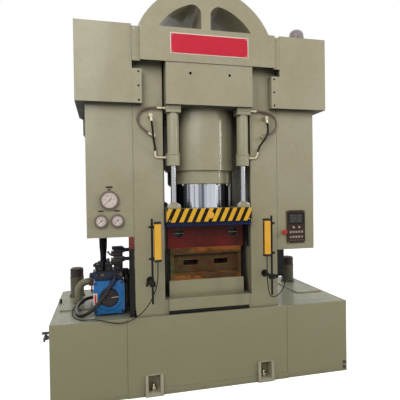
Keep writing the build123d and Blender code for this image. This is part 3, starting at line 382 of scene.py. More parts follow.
@dataclass(frozen=True)
class Finish:
    """What every finish has: a name, a colour and a roughness."""

    name: str
    colour: Colour
    roughness: float = 0.4
    gloss: float = 0.3

    def begin(self) -> tuple[bpy.types.Material, Bench, bpy.types.Node, bpy.types.NodeSocket]:
        """Starts the material.

        Returns:
            The material, its bench, its Principled shader and its object coordinates.
        """
        material = bpy.data.materials.new(self.name)
        material.use_nodes = True
        material.diffuse_color = opaque(self.colour)
        bench = Bench(material.node_tree)
        shader = material.node_tree.nodes["Principled BSDF"]
        shader.inputs["Base Color"].default_value = opaque(self.colour)
        shader.inputs["Roughness"].default_value = self.roughness
        shader.inputs["Specular IOR Level"].default_value = self.gloss
        place = bench.add("TexCoord").outputs["Object"]
        return material, bench, shader, place

    def build(self, effects: Effects) -> bpy.types.Material:
        """Builds the material.

        Args:
            effects: The shared node groups.

        Returns:
            The material.
        """
        raise NotImplementedError


@dataclass(frozen=True)
class Paint(Finish):
    """Sprayed paint on metal, mottled, with rubbed edges, dust on top (on the machine paint partly a painted sheen),
    dirt and painted shade in the corners, and, where set, painted shade lower down and on undersides and deep
    recesses.
    """

    shade: Colour = (0.1, 0.1, 0.1)
    worn: Colour = (0.5, 0.5, 0.45)
    mottle_scale: float = 2.2
    mottle_share: float = 0.6
    wear_width: float = 0.004
    wear: float = 0.5
    grime: float = 0.55
    grime_reach: float = 0.1
    dust: float = 0.25
    coat: float = 0.2
    coat_roughness: float = 0.08
    grain: float = 0.12
    # Painted shade that darkens the paint lower down on the press.
    low_dirt: float = 0.0
    # Painted shade on undersides and deep recesses, and its colour.
    shelter: float = 0.0
    film: Colour = (0.012, 0.014, 0.02)
    low_shade: Colour = (0.25, 0.24, 0.14)
    dust_tint: Colour = (0.36, 0.36, 0.31)
    dirt_span: tuple[float, float] = (2.6, 0.2)
    dirt_depth: float = 0.22
    rough_spread: float = 0.12
    rough_drop: float = 0.05
    film_roughness: float = 0.45
    dust_roughness: float = 0.3
    grain_scale: float = 420.0

    def build(self, effects: Effects) -> bpy.types.Material:
        """Builds the material.

        Args:
            effects: The shared node groups.

        Returns:
            The material.
        """
        material, bench, shader, place = self.begin()
        mottle = effects.mottle.place(bench, Vector=place, Scale=self.mottle_scale).outputs[0]
        colour = bench.mix(bench.sum("MULTIPLY", mottle, self.mottle_share), self.colour, self.shade)
        # Painted shade: the paint darkens lower down, across the given span of heights.
        if self.low_dirt:
            height = bench.add("SeparateXYZ", Vector=place).outputs[2]
            low = bench.between(height, *self.dirt_span, 0.0, self.low_dirt)
            colour = bench.mix(low, colour, self.low_shade)
        dust = effects.dust.place(bench, Vector=place, Amount=self.dust).outputs[0]
        colour = bench.mix(dust, colour, self.dust_tint)
        # Dirt and painted shade: the paint darkens in corners, creases and recesses that ambient occlusion finds.
        dirt_and_shade = effects.grime.place(bench, Vector=place, Amount=self.grime, Reach=self.grime_reach).outputs[0]
        colour = bench.mix(dirt_and_shade, colour, tuple(self.dirt_depth * part for part in self.shade))
        wear = effects.wear.place(bench, Vector=place, Width=self.wear_width, Amount=self.wear).outputs[0]
        colour = bench.mix(wear, colour, self.worn)
        rough = bench.sum("MULTIPLY_ADD", mottle, self.rough_spread, self.roughness - self.rough_drop)
        shader.inputs["Coat Weight"].default_value = self.coat
        # Painted shade: undersides and deep recesses turn dark, rougher and less coated.
        if self.shelter:
            film = effects.shelter.place(bench, Vector=place, Amount=self.shelter).outputs[0]
            colour = bench.mix(film, colour, self.film)
            rough = bench.sum("MULTIPLY_ADD", film, self.film_roughness, rough)
            bench.feed(shader, "Coat Weight", bench.sum("MULTIPLY_ADD", film, -self.coat, self.coat))
        bench.feed(shader, "Base Color", colour)
        bench.feed(shader, "Roughness", bench.sum("MULTIPLY_ADD", dust, self.dust_roughness, rough))
        shader.inputs["Coat Roughness"].default_value = self.coat_roughness
        grain = effects.grain.place(bench, Vector=place, Scale=self.grain_scale, Strength=self.grain)
        bench.feed(shader, "Normal", grain.outputs[0])
        return material


@dataclass(frozen=True)
class Metal(Finish):
    """Bare metal with ground or brushed streaks."""

    shade: Colour = (0.2, 0.2, 0.2)
    stretch: Point = (1.0, 1.0, 0.05)
    streak: float = 0.12
    grime: float = 0.3
    worn: Colour = (0.8, 0.8, 0.8)
    share: float = 0.5
    wear: float = 0.3
    wear_width: float = 0.0015
    wear_scale: float = 60.0
    grime_reach: float = 0.03
    dirt_depth: float = 0.2
    rough_spread: float = 0.12
    rough_drop: float = 0.04

    def streaked(self, effects: Effects, bench: Bench,
                 place: bpy.types.NodeSocket) -> tuple[bpy.types.Node, bpy.types.NodeSocket, bpy.types.NodeSocket]:
        """Lays the ground streaks.

        Args:
            effects: The shared node groups.
            bench: The material's bench.
            place: Its object coordinates.

        Returns:
            The streaks' node, the stretched coordinates and the streaked colour.
        """
        turned = bench.add("Mapping", Vector=place, Scale=self.stretch).outputs[0]
        streaks = effects.streaks.place(bench, Vector=turned, Strength=self.streak)
        share = bench.sum("MULTIPLY", streaks.outputs["Mask"], self.share)
        return streaks, turned, bench.mix(share, self.colour, self.shade)

    def build(self, effects: Effects) -> bpy.types.Material:
        """Builds the material.

        Args:
            effects: The shared node groups.

        Returns:
            The material.
        """
        material, bench, shader, place = self.begin()
        streaks, _, colour = self.streaked(effects, bench, place)
        # Dirt and painted shade: the metal darkens in corners and recesses that ambient occlusion finds.
        dirt_and_shade = effects.grime.place(bench, Vector=place, Amount=self.grime, Reach=self.grime_reach).outputs[0]
        colour = bench.mix(dirt_and_shade, colour, tuple(self.dirt_depth * part for part in self.shade))
        wear = effects.wear.place(bench, Vector=place, Width=self.wear_width, Amount=self.wear,
                                  Scale=self.wear_scale).outputs[0]
        bench.feed(shader, "Base Color", bench.mix(wear, colour, self.worn))
        shader.inputs["Metallic"].default_value = 1.0
        rough = bench.sum("MULTIPLY_ADD", streaks.outputs["Mask"], self.rough_spread,
                          self.roughness - self.rough_drop)
        bench.feed(shader, "Roughness", rough)
        bench.feed(shader, "Normal", streaks.outputs["Normal"])
        return material


@dataclass(frozen=True)
class OiledRam(Metal):
    """Ground steel with a painted reflection: dark towards its sides and in upright streaks, bright down its middle.
    """

    # Colour of the painted dark reflection, the distances from the middle over which it sets in, and the middle
    # across the ram.
    film: Colour = (0.01, 0.015, 0.03)
    wiped: tuple[float, float] = (0.12, 0.2)
    middle: float = -0.02

    def build(self, effects: Effects) -> bpy.types.Material:
        """Builds the material.

        Args:
            effects: The shared node groups.

        Returns:
            The material.
        """
        material, bench, shader, place = self.begin()
        streaks, turned, colour = self.streaked(effects, bench, place)
        # Painted reflection: the ram darkens towards its sides and in upright streaks, and stays bright down its
        # middle.
        across = bench.add("SeparateXYZ", Vector=place).outputs[0]
        bands = bench.noise(turned, 16.0, 2.0)
        uneven = bench.sum("MULTIPLY_ADD", bands, 0.1, -0.05)
        off = bench.sum("ABSOLUTE", bench.sum("ADD", bench.sum("SUBTRACT", across, self.middle), uneven))
        dark_band = bench.between(bands, 0.56, 0.62, 0.0, 0.8)
        film = bench.sum("MAXIMUM", bench.between(off, *self.wiped, 0.0, 0.96), dark_band)
        bench.feed(shader, "Base Color", bench.mix(film, colour, self.film))
        shader.inputs["Metallic"].default_value = 1.0
        bench.feed(shader, "Roughness", bench.sum("MULTIPLY_ADD", film, 0.2, self.roughness))
        bench.feed(shader, "Normal", streaks.outputs["Normal"])
        return material


@dataclass(frozen=True)
class RustyIron(Finish):
    """Cast iron with its paint gone to rust."""

    rust: Colour = (0.3, 0.1, 0.03)
    dark: Colour = (0.05, 0.03, 0.02)
    scale: float = 7.0
    old_paint: Colour = (0.07, 0.1, 0.03)
    half_width: float = 0.33
    middle: float = 1.0895
    rim: Colour = (0.4, 0.18, 0.05)
    worn: Colour = tone(204, 132, 60)

    def build(self, effects: Effects) -> bpy.types.Material:
        """Builds the material.

        Args:
            effects: The shared node groups.

        Returns:
            The material.
        """
        material, bench, shader, place = self.begin()
        rust = effects.rust.place(bench, Vector=place, Scale=self.scale, Amount=0.9)
        mottle = effects.mottle.place(bench, Vector=place, Scale=9.0).outputs[0]
        colour = bench.mix(rust.outputs["Mask"], self.colour, self.rust)
        colour = bench.mix(bench.sum("MULTIPLY", mottle, 0.35), colour, self.dark)
        parts = bench.add("SeparateXYZ", Vector=place)
        rim = bench.between(bench.sum("ABSOLUTE", bench.sum("SUBTRACT", parts.outputs[2], self.middle)),
                            0.09, 0.12, 0.0, 0.75)
        bright = effects.mottle.place(bench, Vector=place, Scale=5.0).outputs[0]
        colour = bench.mix(bench.sum("MULTIPLY", rim, bench.between(bright, 0.2, 0.7)), colour, self.rim)
        side = bench.sum("ABSOLUTE", bench.sum("ADD", parts.outputs[0], -0.1))
        corner = bench.between(side, 0.2, self.half_width + 0.08, 0.0, 0.95)
        patches = effects.mottle.place(bench, Vector=place, Scale=3.5).outputs[0]
        left_paint = bench.sum("MULTIPLY", corner, bench.between(patches, 0.15, 0.6))
        colour = bench.mix(left_paint, colour, self.old_paint)
        # Dirt and painted shade: the iron turns nearly black in corners and recesses that ambient occlusion finds.
        dirt_and_shade = effects.grime.place(bench, Vector=place, Amount=1.0, Reach=0.07).outputs[0]
        colour = bench.mix(dirt_and_shade, colour, tuple(0.25 * part for part in self.dark))
        wear = effects.wear.place(bench, Vector=place, Width=0.007, Amount=0.9, Scale=9.0).outputs[0]
        bench.feed(shader, "Base Color", bench.mix(wear, colour, self.worn))
        bench.feed(shader, "Roughness", bench.sum("MULTIPLY_ADD", rust.outputs["Mask"], 0.25, self.roughness))
        bench.feed(shader, "Normal", rust.outputs["Normal"])
        return material


@dataclass(frozen=True)
class HazardPaint(Finish):
    """Slanting warning stripes on a board, scuffed."""

    dark: Colour = (0.02, 0.02, 0.02)
    pitch: float = 0.0729
    slant: float = 0.47
    middle: Point = (-0.352, 0.0, 1.474)
    dark_share: float = 0.53
    faded: Colour = tone(255, 168, 36)
    scuffed: Colour = tone(96, 70, 40)
    worn: Colour = tone(150, 130, 96)

    def build(self, effects: Effects) -> bpy.types.Material:
        """Builds the material.

        Args:
            effects: The shared node groups.

        Returns:
            The material.
        """
        material, bench, shader, place = self.begin()
        centred = bench.add("Mapping", Vector=place, Location=tuple(-part for part in self.middle)).outputs[0]
        parts = bench.add("SeparateXYZ", Vector=centred)
        across = bench.sum("MULTIPLY_ADD", parts.outputs[2], -self.slant, parts.outputs[0])
        share = bench.sum("FRACT", bench.sum("DIVIDE", across, self.pitch))
        stripe = bench.sum("GREATER_THAN", share, self.dark_share)
        mottle = effects.mottle.place(bench, Vector=place, Scale=6.0).outputs[0]
        bright = bench.mix(bench.sum("MULTIPLY", mottle, 0.3), self.colour, self.faded)
        colour = bench.mix(stripe, bright, self.dark)
        scuffs = effects.rust.place(bench, Vector=place, Scale=26.0, Amount=0.16)
        colour = bench.mix(scuffs.outputs["Mask"], colour, self.scuffed)
        wear = effects.wear.place(bench, Vector=place, Width=0.002, Amount=0.3).outputs[0]
        bench.feed(shader, "Base Color", bench.mix(wear, colour, self.worn))
        bench.feed(shader, "Roughness", bench.sum("MULTIPLY_ADD", mottle, 0.15, self.roughness))
        grain = effects.grain.place(bench, Vector=place, Scale=420.0, Strength=0.1)
        bench.feed(shader, "Normal", grain.outputs[0])
        return material


@dataclass(frozen=True)
class WoundWire(Finish):
    """Flat steel wire laid side by side, painted over."""

    shade: Colour = (0.1, 0.1, 0.1)
    wire_width: float = 0.006

    def build(self, effects: Effects) -> bpy.types.Material:
        """Builds the material.

        Args:
            effects: The shared node groups.

        Returns:
            The material.
        """
        material, bench, shader, place = self.begin()
        depth = bench.add("SeparateXYZ", Vector=place).outputs[1]
        share = bench.sum("FRACT", bench.sum("DIVIDE", depth, self.wire_width))
        ridge = bench.sum("ABSOLUTE", bench.sum("SUBTRACT", share, 0.5))
        joint = bench.between(ridge, 0.38, 0.5)
        mottle = effects.mottle.place(bench, Vector=place, Scale=4.0).outputs[0]
        colour = bench.mix(bench.sum("MULTIPLY", mottle, 0.6), self.colour, self.shade)
        bench.feed(shader, "Base Color", bench.mix(joint, colour, tuple(0.35 * part for part in self.shade)))
        bump = bench.add("Bump", Height=bench.sum("SUBTRACT", 1.0, joint), Strength=0.6, Distance=0.0012)
        bench.feed(shader, "Normal", bump.outputs[0])
        return material


@dataclass(frozen=True)
class Plastic(Finish):
    """Moulded plastic or rubber with a fine grain."""

    shade: Colour = (0.02, 0.02, 0.02)
    grain: float = 0.15
    grain_scale: float = 700.0
    dust: float = 0.15
    coat: float = 0.0
    dust_tint: Colour = tone(160, 154, 140)

    def build(self, effects: Effects) -> bpy.types.Material:
        """Builds the material.

        Args:
            effects: The shared node groups.

        Returns:
            The material.
        """
        material, bench, shader, place = self.begin()
        mottle = effects.mottle.place(bench, Vector=place, Scale=12.0).outputs[0]
        colour = bench.mix(bench.sum("MULTIPLY", mottle, 0.5), self.colour, self.shade)
        dust = effects.dust.place(bench, Vector=place, Amount=self.dust).outputs[0]
        colour = bench.mix(dust, colour, self.dust_tint)
        wear = effects.wear.place(bench, Vector=place, Width=0.0012, Amount=0.3, Scale=60.0).outputs[0]
        light = tuple(min(1.0, 1.6 * part + 0.04) for part in self.colour)
        bench.feed(shader, "Base Color", bench.mix(wear, colour, light))
        bench.feed(shader, "Roughness", bench.sum("MULTIPLY_ADD", mottle, 0.12, self.roughness - 0.04))
        shader.inputs["Coat Weight"].default_value = self.coat
        grain = effects.grain.place(bench, Vector=place, Scale=self.grain_scale, Strength=self.grain)
        bench.feed(shader, "Normal", grain.outputs[0])
        return material


@dataclass(frozen=True)
class ClearGlass(Finish):
    """Clear cover glass with faint smears."""

    def build(self, effects: Effects) -> bpy.types.Material:
        """Builds the material.

        Args:
            effects: The shared node groups.

        Returns:
            The material.
        """
        material, bench, shader, place = self.begin()
        shader.inputs["Transmission Weight"].default_value = 1.0
        shader.inputs["IOR"].default_value = 1.45
        smears = effects.mottle.place(bench, Vector=place, Scale=30.0).outputs[0]
        bench.feed(shader, "Roughness", bench.sum("MULTIPLY_ADD", smears, 0.05, self.roughness))
        return material


class Coating(Enum):
    """Every finish on the press."""

    # Machine paint. Painted shade: it darkens and turns greener lower down on the press.
    MACHINE = Paint("machine_paint", tone(182, 175, 146), 0.42, 0.3, tone(160, 152, 122), tone(205, 200, 176),
                    # Dust on faces that look up, darker and bluish-grey, is partly dust and partly a painted sheen.
                    dust=0.6, coat=0.3, low_dirt=0.85, low_shade=tone(143, 138, 102), dust_tint=tone(122, 128, 122),
                    # Painted shade on undersides and deep recesses, in a dark blue-grey.
                    shelter=0.9, film=tone(30, 34, 42))
    # The barrel takes less painted shade and a softer coat.
    BARREL = replace(MACHINE, name="barrel_paint", shelter=0.35, coat_roughness=0.12)
    ANCHOR_PALE = Paint("anchor_paint", tone(196, 188, 164), 0.45, 0.25, tone(168, 158, 132), tone(214, 204, 186),
                        wear=0.8, grime=0.4, coat=0.1)
    WINDING = WoundWire("winding_paint", tone(160, 153, 126), 0.42, 0.3, tone(118, 112, 88))
    DARK_STEEL = Metal("dark_steel", tone(78, 77, 76), 0.36, 0.5, tone(42, 41, 40), worn=tone(150, 148, 142))
    BLACK_PLASTIC = Plastic("black_plastic", tone(30, 28, 27), 0.45, 0.15, tone(18, 17, 17))
    RUSTY_IRON = RustyIron("rusty_iron", tone(88, 73, 43), 0.62, 0.15, tone(98, 56, 36), tone(38, 30, 26),
                           old_paint=tone(88, 104, 66), rim=tone(176, 104, 42))
    RED_PAINT = Paint("red_paint", tone(114, 31, 26), 0.42, 0.1, tone(46, 27, 21), tone(160, 74, 58), 3.0, 0.85,
                      coat=0.1)
    BLUE_PAINT = Paint("blue_paint", tone(13, 34, 70), 0.4, 0.1, tone(8, 15, 26), tone(30, 84, 176), 5.0, 0.7, 0.012,
                       1.0, dust=0.1, coat=0.1)
    HAZARD = HazardPaint("yellow_paint", tone(255, 200, 62), 0.45, 0.12, tone(9, 7, 7))
    CHROME = Metal("ground_steel", tone(202, 204, 206), 0.12, 0.5, tone(112, 116, 122), (1.0, 1.0, 0.004), 0.04,
                   0.1, tone(235, 235, 238), share=0.8)
    # The ram's steel carries a painted reflection: dark sides and streaks, a bright middle.
    RAM_CHROME = OiledRam("ram_steel", tone(204, 207, 214), 0.12, 0.5, tone(92, 98, 112), (1.0, 1.0, 0.004), 0.04,
                          film=tone(30, 38, 58))
    GREY_PAINT = Paint("grey_paint", tone(168, 156, 156), 0.42, 0.3, tone(130, 118, 120), tone(200, 192, 190), 6.0)
    ZINC = Metal("zinc_steel", tone(205, 196, 170), 0.3, 0.5, tone(150, 140, 112), (1.0, 1.0, 1.0), 0.1, 0.3,
                 tone(230, 224, 206))
    BLACK_BOLT = Metal("black_bolt", tone(66, 60, 52), 0.4, 0.5, tone(36, 32, 28), (1.0, 1.0, 1.0), 0.1, 0.5,
                       tone(190, 180, 150))
    BROWN_PAINT = Paint("brown_paint", tone(78, 58, 44), 0.4, 0.2, tone(48, 36, 28), tone(130, 104, 82), 8.0)
    GLASS = ClearGlass("clear_glass", (1.0, 1.0, 1.0), 0.02, 0.5)
    BLACK_PAINT = Paint("black_paint", tone(26, 25, 25), 0.42, 0.12, tone(15, 15, 15), tone(84, 82, 78), 8.0,
                        dust=0.08, coat=0.05)
    DARK_PLASTIC = Plastic("dark_plastic", tone(66, 50, 40), 0.45, 0.15, tone(44, 34, 28))
    YELLOW_PLASTIC = Plastic("yellow_plastic", tone(226, 184, 60), 0.38, 0.3, tone(204, 154, 40), coat=0.2)
    RED_PLASTIC = Plastic("red_plastic", tone(204, 30, 30), 0.32, 0.3, tone(156, 20, 20), coat=0.3)
    MOTOR_PAINT = Paint("motor_paint", tone(28, 124, 192), 0.38, 0.25, tone(18, 88, 150), tone(120, 160, 196), 6.0,
                        dust=0.15)
    BLACK_RUBBER = Plastic("black_rubber", tone(28, 25, 24), 0.5, 0.14, tone(17, 16, 15), 0.25, 900.0, dust=0.08)
    BROWN_HOSE = Plastic("brown_hose", tone(122, 102, 88), 0.34, 0.3, tone(70, 56, 48), 0.2, 900.0, dust=0.3,
                         coat=0.3)
    PUMP_HOSE = Plastic("pump_hose_rubber", tone(38, 30, 27), 0.36, 0.2, tone(22, 19, 18), 0.2, 900.0, dust=0.25,
                        coat=0.2)
    MANIFOLD_NAVY = Paint("manifold_navy", tone(30, 46, 76), 0.4, 0.2, tone(16, 18, 24), tone(126, 124, 120), 9.0,
                          coat=0.1)
    PRIMER_BROWN = Paint("primer_brown", tone(128, 50, 40), 0.5, 0.2, tone(94, 38, 30), tone(150, 88, 70), 9.0)
    FILTER_OLIVE = Paint("filter_olive", tone(98, 96, 74), 0.42, 0.2, tone(66, 64, 48), tone(146, 140, 114), 7.0)
    # Strong dirt and painted shade in the pipe's corners.
    PIPE_OLIVE = Paint("pipe_olive", tone(140, 134, 106), 0.42, 0.2, tone(104, 98, 74), tone(176, 170, 142), 7.0,
                       dust=0.1, grime=0.8)
    CAP_BROWN = Plastic("cap_brown", tone(70, 60, 54), 0.5, 0.2, tone(46, 40, 37), dust=0.1)
    COVER_DARK = Paint("cover_dark", tone(46, 38, 36), 0.42, 0.15, tone(26, 23, 23), tone(96, 84, 78), 9.0)
    BRASS = Metal("brass", tone(186, 150, 88), 0.3, 0.5, tone(120, 90, 48), (1.0, 1.0, 1.0), 0.1, 0.5,
                  tone(232, 206, 150))
    BEZEL = Paint("bezel_paint", tone(126, 106, 94), 0.36, 0.3, tone(104, 84, 74), tone(176, 156, 142), 9.0)
    SEAM_PAINT = Paint("seam_paint", tone(122, 116, 86), 0.5, 0.15, tone(96, 90, 66), tone(150, 144, 112), 9.0)
    PIN_STEEL = Metal("pin_steel", tone(96, 98, 84), 0.5, 0.3, tone(58, 58, 48), (1.0, 1.0, 1.0), 0.1, 0.5,
                      tone(130, 130, 114))
    PLATE_RED = Plastic("plate_red", tone(222, 44, 66), 0.4, 0.2, tone(206, 36, 56), 0.05, coat=0.1)
    PLATE_CREAM = Plastic("plate_cream", tone(240, 224, 212), 0.4, 0.3, tone(224, 204, 192), 0.05)
    PLATE_DARK = Plastic("plate_dark", tone(62, 52, 44), 0.45, 0.15, tone(44, 37, 32), 0.05)
    DIAL_CREAM = Plastic("dial_cream", tone(216, 200, 188), 0.55, 0.2, tone(202, 184, 172), 0.03, dust=0.0)
    INK = Plastic("ink_dark", tone(34, 28, 27), 0.6, 0.1, tone(24, 20, 20), 0.0, dust=0.0)
    SCREEN = Plastic("screen_grey", tone(62, 60, 58), 0.25, 0.2, tone(46, 44, 44), 0.02, dust=0.0, coat=0.1)
    SCREEN_ROWS = Plastic("screen_rows", tone(84, 86, 78), 0.3, 0.2, tone(72, 74, 66), 0.02, dust=0.0, coat=0.1)
    KEY_WHITE = Plastic("key_white", tone(184, 170, 156), 0.42, 0.3, tone(160, 146, 134), 0.05)
    KEY_GREY = Plastic("key_grey", tone(146, 136, 126), 0.42, 0.3, tone(124, 116, 108), 0.05)
    LENS = Plastic("sensor_lens", tone(40, 20, 18), 0.12, 0.4, tone(26, 14, 13), 0.0, dust=0.0, coat=0.5)
    AMBER_PAINT = Paint("amber_paint", tone(255, 198, 78), 0.4, 0.2, tone(250, 176, 48), tone(250, 216, 140), 9.0,
                        dust=0.0, coat=0.1)

    def material(self, effects: Effects) -> bpy.types.Material:
        """The finish's material, built the first time that it is asked for.

        Args:
            effects: The shared node groups.

        Returns:
            The material.
        """
        if self.name not in effects.made:
            effects.made[self.name] = self.value.build(effects)
        return effects.made[self.name]


@dataclass(frozen=True)
class Bodywork:
    """Which CAD nodes take which finish."""

    coats: dict[str, Coating] = field(default_factory=lambda: {
        **dict.fromkeys(("base_centre", "left_wing_tank", "right_wing_tank", "deck_covers", "left_column",
                         "right_column", "upper_yoke", "lower_yoke", "bed_block", "apron_plate", "slide_beam",
                         "cylinder_housing", "gland_ring", "return_cylinders", "header_covers",
                         "right_top_tank", "left_top_tank", "left_cabinet", "right_cabinet", "cabinet_door"),
                        Coating.MACHINE),
        "main_cylinder": Coating.BARREL,
        "suction_pipe": Coating.PIPE_OLIVE,
        "anchor_brackets": Coating.ANCHOR_PALE,
        "wire_winding": Coating.WINDING,
        **dict.fromkeys(("guide_rails", "tank_fittings", "cock_handle"), Coating.DARK_STEEL),
        "cable_ducts": Coating.BLACK_PLASTIC,
        "lower_bolster": Coating.RUSTY_IRON,
        "upper_die": Coating.RED_PAINT,
        "slide_plate": Coating.BLUE_PAINT,
        "guard_plate": Coating.HAZARD,
        "ram": Coating.RAM_CHROME,
        "return_rods": Coating.CHROME,
        "filler_cap": Coating.GREY_PAINT,
        **dict.fromkeys(("machine_screws", "hose_fittings"), Coating.ZINC),
        "oil_pump": Coating.BROWN_PAINT,
        "gauge_cases": Coating.BEZEL,
        "gauge_glasses": Coating.GLASS,
        **dict.fromkeys(("main_gauge_needle", "left_gauge_needle", "right_gauge_needle", "curtain_stands"),
                        Coating.BLACK_PAINT),
        "valve_manifold": Coating.MANIFOLD_NAVY,
        "tank_filters": Coating.FILTER_OLIVE,
        "operator_panel": Coating.DARK_PLASTIC,
        "estop_collar": Coating.YELLOW_PLASTIC,
        "estop_button": Coating.RED_PLASTIC,
        "light_curtains": Coating.AMBER_PAINT,
        "pump_motor": Coating.MOTOR_PAINT,
    })

    def dress(self, effects: Effects) -> None:
        """Gives every carried-over node its finish.

        Args:
            effects: The shared node groups.
        """
        for name, coating in self.coats.items():
            material = coating.material(effects)
            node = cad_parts[name]
            if not node.material_slots:
                node.data.materials.append(material)
            for slot in node.material_slots:
                slot.material = material
        LOG.info("bodywork: %d nodes dressed", len(self.coats))


@dataclass(frozen=True)
class Hose:
    """One free hose or cable: its route in millimetres, its size in metres and its finish."""

    name: str
    route: Sequence[Point]
    diameter: float
    length: float
    stiffness: str = "stiff"
    lay: str = "hanging"
    coating: Coating = Coating.BLACK_RUBBER

    def build(self, effects: Effects) -> None:
        """Args:
            effects: The shared node groups.
        """
        curve = bpy.data.curves.new(self.name + "_line", "CURVE")
        curve.dimensions = "3D"
        spline = curve.splines.new("NURBS")
        spline.points.add(len(self.route) - 1)
        for point, place in zip(spline.points, self.route):
            point.co = (*(part / PER_METRE for part in place), 1.0)
        spline.order_u = 3
        spline.use_endpoint_u = True
        spline.resolution_u = 8
        curve.bevel_depth = self.diameter / 2
        curve.bevel_resolution = 6
        curve.use_fill_caps = True
        curve.materials.append(self.coating.material(effects))
        piece = bpy.data.objects.new(self.name + "_run", curve)
        bpy.context.scene.collection.objects.link(piece)
        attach(piece, PRESS)
        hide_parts(self.name)
        LOG.info("hose: %s", self.name)


class Hoses:
    """The nine hoses and cables, each on the route of its CAD tube."""

    def __init__(self) -> None:
        """Lists the hoses."""
        front = -590
        self.hoses = [
            Hose("upper_right_hose", [(x, front, z) for x, z in (
                (452, 2458), (498, 2458), (553, 2450), (605, 2428), (640, 2392), (651, 2343), (636, 2295),
                (599, 2262), (557, 2242))], 0.018, 0.40, coating=Coating.BROWN_HOSE),
            Hose("upper_left_hose", [(x, front, z) for x, z in (
                (-452, 2458), (-496, 2458), (-545, 2450), (-590, 2428), (-616, 2387), (-618, 2339),
                (-595, 2297), (-559, 2266), (-524, 2243))], 0.018, 0.374, coating=Coating.BROWN_HOSE),
            Hose("lower_right_hose", [
                (536, -640, 2346), (544, -640, 2310), (543, -640, 2270), (533, -638, 2233), (515, -632, 2200),
                (495, -620, 2171), (478, -607, 2144), (467, -598, 2117), (461, -593, 2090)], 0.018, 0.283),
            Hose("lower_left_hose", [
                (-505, -640, 2334), (-499, -640, 2296), (-495, -639, 2254), (-492, -635, 2212),
                (-486, -625, 2174), (-478, -610, 2142), (-472, -596, 2114), (-471, -590, 2090)], 0.018, 0.255),
            Hose("left_curtain_cable", [
                (-481, -730, 1151), (-481, -730, 1085), (-483, -727, 1016), (-495, -718, 946),
                (-520, -704, 874), (-556, -686, 802), (-606, -660, 734), (-668, -630, 682), (-738, -616, 652),
                (-808, -618, 650), (-874, -617, 663), (-934, -612, 683), (-990, -602, 693),
                (-1044, -584, 691), (-1092, -554, 682), (-1130, -510, 679), (-1160, -452, 679),
                (-1180, -388, 679), (-1190, -322, 681), (-1190, -262, 696), (-1182, -204, 703),
                (-1170, -150, 699), (-1158, -108, 697), (-1158, -72, 697)], 0.008, 1.499, "medium", "loose"),
            Hose("right_curtain_cable", [
                (481, -730, 1151), (481, -730, 1081), (483, -727, 998), (489, -721, 924), (499, -714, 860),
                (514, -706, 816), (538, -698, 792), (567, -690, 790), (595, -687, 799), (621, -686, 818),
                (643, -685, 843), (661, -682, 871), (675, -675, 900), (685, -660, 926), (689, -638, 948),
                (690, -611, 958), (690, -586, 958)], 0.008, 0.679, "medium", "hanging"),
            Hose("pump_hose", [
                (-850, -480, 949), (-888, -486, 891), (-930, -491, 833), (-975, -495, 778), (-1021, -494, 735),
                (-1070, -478, 705), (-1112, -442, 691), (-1139, -392, 691), (-1151, -338, 698),
                (-1151, -282, 712), (-1139, -228, 730), (-1114, -182, 744), (-1084, -144, 754),
                (-1048, -116, 759), (-1007, -100, 760)], 0.032, 0.81, "stiff", "loose", Coating.PUMP_HOSE),
            Hose("front_riser_hose", [
                (-932, -310, 1334), (-932, -310, 1294), (-930, -311, 1244), (-926, -313, 1198),
                (-925, -314, 1172), (-925, -314, 1136)], 0.033, 0.199),
            Hose("rear_riser_hose", [
                (-895, -254, 1334), (-895, -254, 1290), (-897, -253, 1242), (-902, -252, 1200),
                (-904, -251, 1166), (-904, -251, 1136)], 0.033, 0.199),
        ]

    def build(self, effects: Effects) -> None:
        """Builds every hose.

        Args:
            effects: The shared node groups.
        """
        for hose in self.hoses:
            hose.build(effects)


def aimed(axis: Sequence[float]) -> Matrix:
    """The turn that points the Z axis along a direction."""
    return Vector(axis).to_track_quat("Z", "Y").to_matrix().to_4x4()


def faces_at(vertices: Iterable[bmesh.types.BMVert]) -> list[bmesh.types.BMFace]:
    """The faces that meet some vertices, each listed once."""
    return list(dict.fromkeys(face for vertex in vertices for face in vertex.link_faces))


def around(count: int, radius: float, first: float = 0.0) -> list[tuple[float, float, float]]:
    """Spreads places evenly on a circle.

    Args:
        count: Number of places.
        radius: Radius of the circle.
        first: Angle of the first place in degrees.

    Returns:
        Each place's angle in radians and its distance across and up from the middle.
    """
    angles = [math.radians(first + 360 * step / count) for step in range(count)]
    return [(angle, radius * math.cos(angle), radius * math.sin(angle)) for angle in angles]


